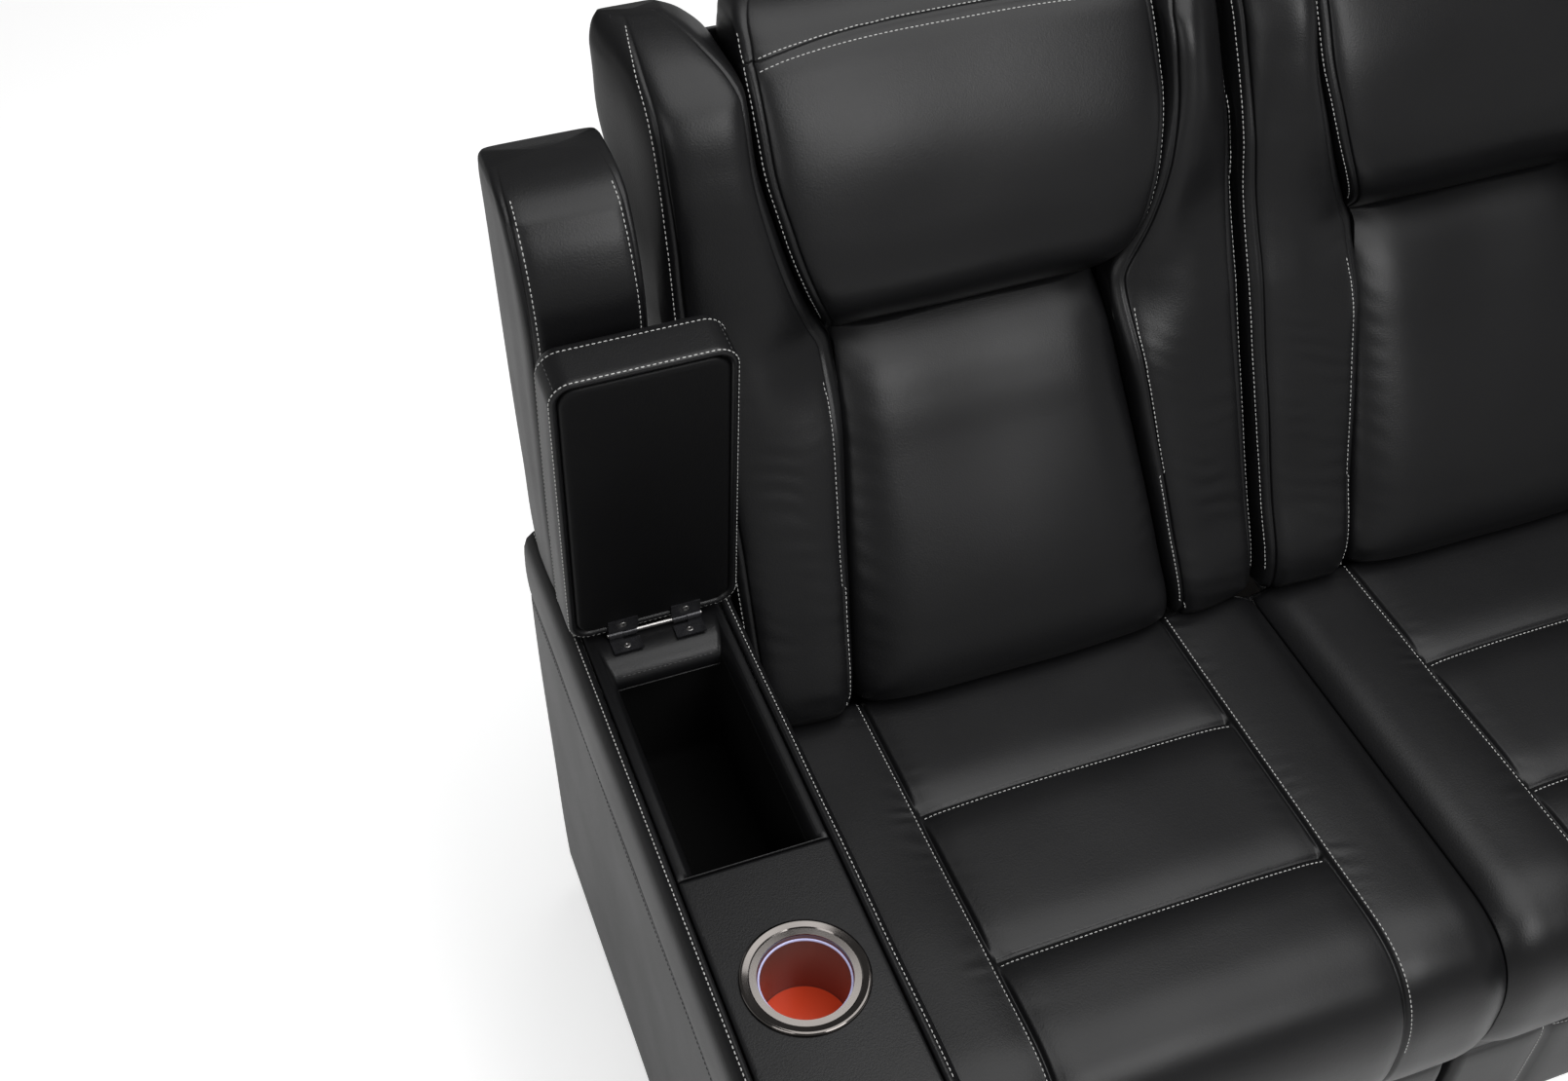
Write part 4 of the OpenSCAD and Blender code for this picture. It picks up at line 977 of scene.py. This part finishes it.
def patch_grid():
    """Rings from the hole to the square: place = circle * (1 - t) + square * t."""
    across = deck_u / deck_u[-1] * 2 - 1
    along = np.linspace(-1, 1, len(deck_u))
    one = np.ones(len(deck_u) - 1)
    square = np.concatenate([np.stack([across[:-1], -one], 1), np.stack([one, along[:-1]], 1),
                             np.stack([across[:0:-1], one], 1), np.stack([-one, along[:0:-1]], 1)])
    square = np.concatenate([square, square[:1]])
    half = np.array([(DECK_X1 - DECK_X0) / 2, PATCH])
    away = square * half
    circle = away / np.linalg.norm(away, axis=1, keepdims=True) * HOLE_R
    t = np.array([0, 0.015, 0.05, 0.11, 0.2, 0.32, 0.46, 0.6, 0.74, 0.85, 0.92, 0.96, 0.985, 1.0])
    flat = circle[:, None] * (1 - t)[:, None] + away[:, None] * t[:, None]
    return CUP_X + flat[..., 0], CUP_Y + flat[..., 1], t


px, py, t_ring = patch_grid()
rim_share = dome(px - DECK_X0, DECK_X1 - DECK_X0, DECK_RIM) * dome(t_ring, 2.0, 0.06)
sheet_z = np.full_like(px, DECK - SHEET_DEPTH)
patch = (at(px, py, sheet_z + rim_share * deck_crown(px, py, sheet_z)),
         at(px, py, sheet_z - rim_share * 2 * SHEET_DEPTH))
front_s = runs((ROLL - CUP_Y + PATCH, FRONT_L - 4, 8.0), (FRONT_L - 4, FRONT_L, 0.8))
rear_s = runs((ROLL - DECK_END, ROLL - DECK_END + 4, 0.8), (ROLL - DECK_END + 4, ROLL - CUP_Y - PATCH, 7.0))
parts = [deck_strip(front_s, -1, (False, True)), patch, deck_strip(rear_s, -1, (True, False))]
sheets = [(part[i], aim) for i, aim in enumerate((ABOVE, BELOW)) for part in parts]
welded("arm_deck_cover_left", sheets, nodes=("arm_deck_left", "arm_front_left"), fill=0.3)

# %% Well border and lining
WELL_IN = np.array([34.0, 141.0, 318.0, 569.0])
BORDER_OUT = np.array([DECK_X0, DECK_X1, 316.0, ARM_D - 2])


def rectangle(x0, x1, y0, y1, n_x, n_y):
    """Corner to corner outline of a rectangle, as n points a side."""
    t_x, t_y = np.linspace(0, 1, n_x, endpoint=False), np.linspace(0, 1, n_y, endpoint=False)
    x = [x0 + (x1 - x0) * t_x, x1 + 0 * t_y, x1 - (x1 - x0) * t_x, x0 + 0 * t_y]
    y = [y0 + 0 * t_x, y0 + (y1 - y0) * t_y, y1 + 0 * t_x, y1 - (y1 - y0) * t_y]
    return np.concatenate(x), np.concatenate(y)


# Each row: share of the way from the outer to the inner rectangle at the sides, at the front and at
# the rear, and the height.
border_profile = np.array([
    [0.00, 0.00, 0.00, 614.0], [0.02, 0.02, 0.001, 617.0], [0.08, 0.10, 0.006, 618.8],
    [0.2, 0.3, 0.02, 619.6], [0.34, 0.5, 0.30, 619.8], [0.46, 0.6, 0.70, 619.7], [0.56, 0.7, 0.84, 619.2],
    [0.68, 0.8, 0.91, 616.4], [0.82, 0.9, 0.955, 611.0], [0.93, 0.95, 0.985, 604.5], [1.00, 1.0, 1.00, 597.0],
    [0.98, 0.98, 0.995, 590.0], [0.90, 0.9, 0.97, 588.0], [0.60, 0.6, 0.7, 600.0], [0.2, 0.3, 0.05, 601.0],
    [0.02, 0.05, 0.004, 606.0]])
places = np.arange(len(border_profile))
levels = through(np.column_stack([places, border_profile]), np.linspace(0, places[-1], 91)[:-1])
rings = []
for side_share, front_share, rear_share, height in levels:
    limits = BORDER_OUT + (WELL_IN - BORDER_OUT) * (side_share, side_share, front_share, rear_share)
    rings.append(at(*rectangle(*limits, 30, 60), height))
well_border = loop_piece("well_border", np.array(rings), nodes=("arm_deck_left",), fill=0.5)


def rounded_box(box, inset, radius, per_corner=8, per_side=(10, 24)):
    """Rounded rectangle, drawn inset into the box (x0, x1, y0, y1): straight runs joined by quarter
    circles."""
    x0, x1, y0, y1 = np.add(box, (inset, -inset, inset, -inset))
    arcs = []
    for quarter, (cx, cy) in enumerate(((x1 - radius, y1 - radius), (x0 + radius, y1 - radius),
                                        (x0 + radius, y0 + radius), (x1 - radius, y0 + radius))):
        turn = math.pi / 2 * (quarter + np.linspace(0, 1, per_corner))
        arcs.append(np.stack([cx + radius * np.cos(turn), cy + radius * np.sin(turn)], 1))
    parts = []
    for i, arc in enumerate(arcs):
        t = np.linspace(0, 1, per_side[i % 2] + 1)[1:-1, None]
        parts += [arc, arc[-1] * (1 - t) + arcs[(i + 1) % 4][0] * t]
    return np.concatenate(parts).T


BIN_BOX, BIN_R = (29.6, 143.4, 313.4, 581.6), 12
# Each row: inset and height, from the middle of the underside, up the outside, over and down inside.
bin_profile = [(30, 450.2), (4, 450.2), (1, 450.6), (0, 452.5), (0, 600), (0.4, 602), (1.4, 602.6),
               (2.4, 602), (2.8, 600), (3.0, 470), (4, 462), (8, 456.5), (16, 454.8), (40, 454.5)]
rings = [at(*rounded_box(BIN_BOX, inset, max(BIN_R - inset, 3.0)), height) for inset, height in bin_profile]
skin("well_lining", np.array(rings), finish=plain["lining"], nodes=("well_liner",), slot="black_plastic")

# %% [markdown]
# ## The lid
# The lid stands open at 85 degrees. It is a padded block with a sewn band round its edge: two rows of
# stitches run right round it. Its underside is a smooth, duller panel set inside a narrow border; its darker
# tone is painted shade.
# All of it is drawn lying closed, in the lid's own millimetres, and turned open about the hinge.

# %% Lid body and underside
HINGE_Y, HINGE_Z, LID_OPEN = 610.0, DECK + 5, math.radians(-85)
LID_FRONT, LID_REAR, LID_R, LID_SIDES = -349.5, -5.5, 22.0, (24, 60)


def opened(x, y, z):
    """Turns lid millimetres, measured from the hinge, up to the open lid, in metres."""
    c, s = math.cos(LID_OPEN), math.sin(LID_OPEN)
    return at(x, HINGE_Y + c * y - s * z, HINGE_Z + s * y + c * z)


def lid_rings(profile, radius, inset_x, inset_y):
    """Rounded rectangles for a list of (inset, height), in the opened lid's place. The sides of the
    band bow out a little in the middle."""
    box, rings = (inset_x, ARM_W - inset_x, LID_FRONT + inset_y, LID_REAR - inset_y), []
    for inset, height in profile:
        x, y = rounded_box(box, inset, max(radius - inset, 2.5), 12, LID_SIDES)
        if height >= 5 and inset < 3:
            along = np.clip((y - LID_FRONT) / (LID_REAR - LID_FRONT), 0, 1)
            x = x + 1.2 * np.sin(math.pi * along) * np.sign(x - ARM_W / 2)
        rings.append(opened(x, y, height))
    return np.array(rings)


lid_profile = [(60, 4), (10, 4), (8.8, 3.4), (7.9, 2.0), (7.0, 0.5), (5.8, -0.5), (4.3, -0.9), (2.8, -0.6),
               (1.5, 0.2), (0.7, 1.2), (0.25, 2.6), (0.05, 4.5), (0, 8), (0, 18), (0, 30), (0, 39), (0.2, 42),
               (0.7, 43.4), (1.5, 44.1), (1.9, 44.8), (1.9, 45.6), (2.6, 48), (4.6, 51.5), (7.5, 54.2),
               (12, 57), (20, 59.7), (32, 61.8), (48, 63.2), (64, 63.9), (80, 64.1)]
under_profile = [(60, 10), (3, 10), (0.6, 9), (0, 7), (0, 2.6), (0.5, 0.6), (1.6, -0.5), (3.4, -0.95),
                 (7, -1.0), (20, -1.0), (40, -1.0), (60, -1.0)]
lid_body = skin("lid_cover", lid_rings(lid_profile, LID_R, 1.0, 0.0), body="lid", nodes=("lid_cushion",),
                fill=0.8)
skin("lid_underside", lid_rings(under_profile, 18, 9.4, 8.4), body="lid", finish=leather_flat_shaded,
     nodes=("lid_board",))

# %% [markdown]
# ## Wing behind the arm
# The wing closes the side of the back. It is a flat sided pillow: a front panel that rolls back at the
# top, sewn to both flat sides along a stitched edge.

# %% Wings
WING_X, WING_W, WING_LOW, WING_HIGH, WING_POWER = 5.0, 114.0, DECK + 0.3, DECK + 448, 8.0
WING_SEAMS = (math.radians(224), math.radians(316))


def wing_stations():
    """Front and rear lean back as they rise; the top turns over in a tight roll."""
    shape = [[0, 12, 10], [0.006, 6, 5], [0.03, 2, 0], [0.27, 0, 0], [0.56, -8, 0], [0.68, -12, 0],
             [0.78, -9, 0], [0.87, 3, 0], [0.94, 22, 0], [0.975, 40, 0.6], [0.993, 66, 2.2], [1, 92, 5]]
    t, front, inset = np.transpose(shape)
    rear = ARM_D - 28 + 50 * t - inset - 22 * np.maximum(0, 1 - t / 0.08) ** 2
    return np.stack([WING_LOW + t * (WING_HIGH - WING_LOW), ARM_D - 112 + front, rear, WING_X + inset,
                     WING_X + WING_W - inset], axis=1)


def wing_rings():
    """The power of the outline keeps the sides flat; both front corners are sewn."""
    x, y, z, face, _ = pillow(wing_stations(), WING_LEVELS, 220, WING_POWER, WING_SEAMS)
    middle = WING_X + WING_W / 2
    y = y + face * (1.0 * wander(x, z, 170, 91) - 2.0 * bell((x - middle) / WING_W, 0.4))
    return x - 1.6 * (1 - face) * bell(z - 850, 190) * np.sign(middle - x), y, z


WING_LEVELS = runs((WING_LOW, WING_LOW + 16, 1.6), (WING_LOW + 16, WING_HIGH - 60, 5),
                   (WING_HIGH - 60, WING_HIGH, 1.6))
wing_x, wing_y, wing_z = wing_rings()
wings = {side: skin(f"wing_cover_{label}", at(mirror_x(wing_x, side), wing_y, wing_z),
                    nodes=(f"wing_{label}",), fill=0.7) for side, label in SIDES}

# %% [markdown]
# ## Backs and fronts
# The rear of each seat is a padded panel over a board. The fronts below the cushions are padded
# panels too; the one under seat 1 is the footrest and moves with it.

# %% Rear covers
def rear_panel(k):
    """A flat panel on the leaning rear, with rounded rims and a slow swell."""
    half = SEAT_HALF - 1.5
    u, v = rim(2 * half, 6.0, 14.0), rim(COVER_TOP - COVER_LOW, 6.0, 14.0)
    x, z = (u - half)[:, None], COVER_LOW + v
    swell = 7.0 + 2.2 * arch(u)[:, None] * arch(v)
    for line in (-PANEL, PANEL):
        swell = swell - 2.2 * bell(x - line, 2.2) - 1.0 * bell(x - line, 12)
    sheet = at(seat_x(k) + x, cover_y(z) + 3.0, z)
    return panel(f"rear_cover_{k}", sheet, (0, 1, 0), u, v, 6.0, swell, 3.0, BACK_BODY[k],
                 f"back_cover_{k}", 0.3)


rear_covers = {k: rear_panel(k) for k in SEATS}

# %% Padded fronts
BASE_FRONT, BASE_LOW, BASE_HIGH, CROSS_DROP = 95.0, 60.0, 250.0, 34.0
CHAISE_LOW, CHAISE_HIGH, CHAISE_L, CHAISE_H = 50.0, 267.0, 732.0, 291.0


def front_cover(k, y_front, y_rear, z0, z1, name, body, node):
    """An upright padded board: rounded all round, with two sewn seams below the cushion's and one
    seam across."""
    half = SEAT_HALF - 2
    u, v = rim(2 * half, 10.0, 6.0), rim(z1 - z0, 10.0, 6.0)
    x, z = (u - half)[:, None], z0 + v
    crown = arch(u)[:, None] ** 0.6 * arch(v) ** 0.8
    swell = y_rear - y_front - 12 + 4 * crown + 0.6 * wander(x, z, 180, 95)
    for line in (-PANEL, PANEL):
        swell = swell - 3.0 * bell(x - line, 2.2) - 2.5 * bell(x - line, 14)
    cross = z1 - CROSS_DROP
    swell = swell - 2.5 * bell(z - cross, 2.2) - 2.0 * bell(z - cross, 12)
    sheet = at(seat_x(k) + x, y_rear - 8.0, z)
    return panel(name, sheet, (0, -1, 0), u, v, 10.0, swell, 7.5, body, node, 0.6)


# Each row: front, rear, bottom, top, piece, body and node of a seat's padded front.
FRONTS = ((BASE_FRONT, 134.7, BASE_LOW, BASE_HIGH, "footrest_cover", "footrest", "footrest_pad_1"),
          (BASE_FRONT, 154.7, BASE_LOW, BASE_HIGH, "front_cover_2", "root", "front_panel_2"),
          (CHAISE_FRONT + 28, CHAISE_FRONT + 62, CHAISE_LOW, CHAISE_HIGH, "front_cover_3", "root",
           "chaise_panels"))
fronts = [front_cover(k, *row) for k, row in zip(SEATS, FRONTS)]


def chaise_side(side, label, length):
    """The long padded side of the chaise, from behind its front rearwards."""
    u, v = rim(CHAISE_L, 5.0, 10.0), rim(CHAISE_H, 5.0, 9.0)
    y, z = (CHAISE_FRONT + 63 + u * length / CHAISE_L)[:, None], CHAISE_LOW + v
    sheet = at(seat_x(3) + side * (SEAT_HALF - 7.0), y, z)
    swell = 5.0 + 1.0 * arch(v) + 0.5 * wander(y, z, 240, 97)
    panel(f"chaise_side_{label}", sheet, (side, 0, 0), u, v, 5.0, swell, 5.0, "root", "chaise_panels")


for (side, label), length in zip(SIDES, (CHAISE_L, 584.0)):
    chaise_side(side, label, length)

# %% [markdown]
# ## Sewing the visible seams
# Each row of stitches is a path a few millimetres beside its groove. Light thread is used where the
# sofa shows it. The lower seam of the arms, the rear covers, the corners of the lid's band and the
# border of the well are sewn in dark thread.

# %% Seats
BESIDE, ROW_DROP = 5.2, 118.0


def sew_seat(cover, k, nose, count):
    """Two long rows beside the side seams, over the nose down to ROW_DROP below the crest, and one in
    front of each channel."""
    for side, _ in SIDES:
        x = np.array([side * (PANEL + BESIDE)])
        y, z = seat_slice(x, nose, count)
        last = int(np.argmin(np.abs(z[0] - (SEAT_H - ROW_DROP)) + 1000 * (y[0] > nose + 60)))
        sew(cover, at(seat_x(k) + x[0], y[0, 2:last], z[0, 2:last]))
    x = np.linspace(-PANEL + 3, PANEL - 3, 60)
    for c in range(count):
        groove = FIRST_CHANNEL - c * CHANNEL_PITCH - channel_bend(x, c)
        sew(cover, at(seat_x(k) + x, groove - BESIDE, SEAT_H))


for k, cover, (nose, count, *_) in zip(SEATS, seats, CUSHIONS):
    sew_seat(cover, k, nose, count)
print("rows so far", sum(map(len, seam_rows.values())))

# %% Backs
def sew_back(k):
    """Rows beside the lumbar cushion, along both sides of the headrest and across its top, and down
    the outer side of each bolster."""
    middle = seat_x(k)
    z = np.linspace(BOLSTER_LOW + 12, CREASE - 3, 60)
    edge = lumbar_edge((z - BOLSTER_LOW) / (CREASE - BOLSTER_LOW))
    head_z = runs((CREASE + 30, TOP - 22, 6))
    for (side, _), head_corner in zip(SIDES, HEAD_SEAMS):
        sew(bolsters[k, side], at(middle + side * (edge + 8), back_y(z) - 20, z))
        edge_x, edge_y, edge_z = bolster_edge(k, side)
        sew(bolsters[k, side], at(middle + edge_x, edge_y, edge_z))
        head_x, head_y, _ = corner(headrest_stations(), head_z, head_corner, HEAD_POWER, 6.5)
        sew(headrests[k], at(middle + head_x, head_y, head_z))
    x = np.linspace(-HEAD_HALF + 14, HEAD_HALF - 14, 90)
    for shift in (-6.0, 6.0):
        line = head_seam(x) + shift
        sew(headrests[k], at(middle + x, back_y(line) + 6, line))


for k in SEATS:
    sew_back(k)
print("rows so far", sum(map(len, seam_rows.values())))

# %% Arms, wings, lid and well
top_y, low_y = np.linspace(ARM_COVER_L, ROLL + 2, 120), np.linspace(ARM_COVER_L, 24, 120)
low_x, low_z = through(OUTER, np.array([99.0]))[0]
turn = np.linspace(0.12, math.pi / 2, 16)
roll_y, roll_z = ROLL - (ROLL - 10) * np.sin(turn), DECK - ROLL + (ROLL - 6) * np.cos(turn)
arm_seams = (("band", 9.0, top_y, DECK - 1), ("inner", 164.5, top_y, DECK - 1),
             ("outer", low_x - 6, low_y, low_z), ("band", 6.0, roll_y, roll_z),
             ("inner", 167.0, roll_y, roll_z))
for side, _ in SIDES:
    for part, x, y, z in arm_seams:
        sew(arm_covers[part, side], at(mirror_x(x, side), y, z), dark=part == "outer")
    for seam, inward in zip(WING_SEAMS, (6.5, -6.5)):
        x, y, z = corner(wing_stations(), WING_LEVELS[10:-4], seam, WING_POWER)
        sew(wings[side], at(mirror_x(x + inward, side), y - 4, z))

x, y = rounded_box((1.0, ARM_W - 1.0, LID_FRONT, LID_REAR), 0, LID_R, 12, LID_SIDES)
for height in (0.6, 40.5):
    sew(lid_body, opened(np.append(x, x[0]), np.append(y, y[0]), height))
for x in (7.4, ARM_W - 7.4):
    sew(lid_body, opened(x, LID_FRONT + 6.4, np.linspace(3, 38, 8)), dark=True)
sew(well_border, at(np.linspace(40, 134, 30), 571.0, 605.0), dark=True)
print("rows so far", sum(map(len, seam_rows.values())))

# %% Fronts, chaise and rear
def sew_front(k, cover, y_front, z0, z1):
    """Rows outside the two upright seams and below the cross seam of a padded front."""
    z = np.linspace(z0 + 12, z1 - 12, 40)
    for side, _ in SIDES:
        sew(cover, at(seat_x(k) + side * (PANEL + BESIDE), y_front, z))
    x = np.linspace(-PANEL + 3, PANEL - 3, 60)
    sew(cover, at(seat_x(k) + x, y_front, z1 - CROSS_DROP - BESIDE))


for k, cover, (y_front, _, z0, z1, *_) in zip(SEATS, fronts, FRONTS):
    sew_front(k, cover, y_front - 3, z0, z1)
for k in SEATS:
    z = np.linspace(COVER_LOW + 14, COVER_TOP - 14, 90)
    for side, _ in SIDES:
        x = seat_x(k) + side * (PANEL + BESIDE)
        sew(rear_covers[k], at(x, cover_y(z) + 12, z), dark=True)
for body, dark in sorted(seam_rows):
    stitch_piece(body, dark)

# %% [markdown]
# ## Finishes for the frame's own pieces
# Timber, straps, steel, motors, hinge, cup holder and buttons are shown as they are. Only their
# surface changes: each gets the finish of its material slot.

# %% Materials of the shown solids
finish_of = {"leather": leather, "leather_side": leather, "cup_wall": cup_red, "cup_disc": cup_orange}
PLAIN_SLOTS = {"timber": "timber", "steel": "powder_coat", "hinge_steel": "dark_steel",
               "bright_steel": "bright_steel", "black_plastic": "plastic", "button_metal": "button_metal",
               "cup_rim": "nickel", "webbing": "straps"}
finish_of.update((slot, plain[name]) for slot, name in PLAIN_SLOTS.items())
subparts = frame["record"]["subparts"]
for subpart in subparts:
    for place in frame["nodes"][subpart["node"]].material_slots:
        place.material = finish_of[subpart["material_slot"]]
print("finishes on", len(subparts), "nodes")

# %% [markdown]
# ## Light ring of the cup holder
# Just inside the metal flange runs a thin lit ring. It is a small circle swept round a large one.

# %% Light ring
RING_Z, RING_R, RING_THICK = 616.5, 39.4, 1.0
u = np.linspace(0, 2 * math.pi, 96, endpoint=False)[:, None]
v = np.linspace(0, 2 * math.pi, 10, endpoint=False)[None, :]
reach = RING_R + RING_THICK * np.cos(v)
ring = at(CUP_X + reach * np.cos(u), CUP_Y + reach * np.sin(u), RING_Z + 1.4 * RING_THICK * np.sin(v))
loop_piece("cup_light_ring", ring, finish=ring_glow, slot="cup_wall")

# %% [markdown]
# ## Hinge screws
# One flat screw head sits in each hinge leaf. It is a low profile turned round its own axis, with a
# socket in the middle, and it stands out so little that the lid still closes.

# %% Screw heads
SCREW_HEAD = [(3.5, -0.6), (3.6, 0.0), (3.2, 0.35), (2.2, 0.4), (1.4, 0.4), (1.0, -0.1), (0.3, -0.2)]
SCREW_OUT, SCREW_BACK, ARM_LEAF, LID_LEAF = 32.0, -14.5, DECK + 1.6, -2.5
turn = np.linspace(0, 2 * math.pi, 24, endpoint=False)
for label, screw_x in (("outer", CUP_X - SCREW_OUT), ("inner", CUP_X + SCREW_OUT)):
    circles = [(screw_x + radius * np.cos(turn), SCREW_BACK + radius * np.sin(turn), height)
               for radius, height in SCREW_HEAD]
    on_arm = np.array([at(x, HINGE_Y + y, ARM_LEAF + height) for x, y, height in circles])
    on_lid = np.array([opened(x, y, LID_LEAF - height) for x, y, height in circles])
    skin(f"hinge_screw_arm_{label}", on_arm, finish=plain["bright_steel"], slot="bright_steel")
    skin(f"hinge_screw_lid_{label}", on_lid, body="lid", finish=plain["bright_steel"],
         slot="bright_steel")

# %% [markdown]
# ## The floor
# A white floor shows the sofa's shadow. To the camera and in reflections it glows a little, so that
# it reads as white as the studio's; to all other light it is plain white paint.

# %% White floor
floor_paint = Finish("floor_paint", Roughness=0.9, Specular_IOR_Level=0.1)
soft = floor_paint.noise(2.0, 1)
floor_paint.feed("Base Color", floor_paint.blend(soft, (0.80, 0.80, 0.80), (0.83, 0.83, 0.83)))
ray = [floor_paint.node("ShaderNodeLightPath", out=name) for name in ("Is Camera Ray", "Is Glossy Ray")]
shown = floor_paint.node("ShaderNodeMath", {"operation": "MAXIMUM"}, {0: ray[0], 1: ray[1] * 0.35})
floor_paint.feed("Emission Color", floor_paint.blend(shown, (0, 0, 0), (1, 1, 1)))
floor_paint.shader.inputs["Emission Strength"].default_value = 0.62
bpy.ops.mesh.primitive_plane_add(size=14, location=(0, 0, 0))
floor = bpy.context.object
floor.name = "floor"
floor.data.materials.append(floor_paint.material)
print("floor laid")
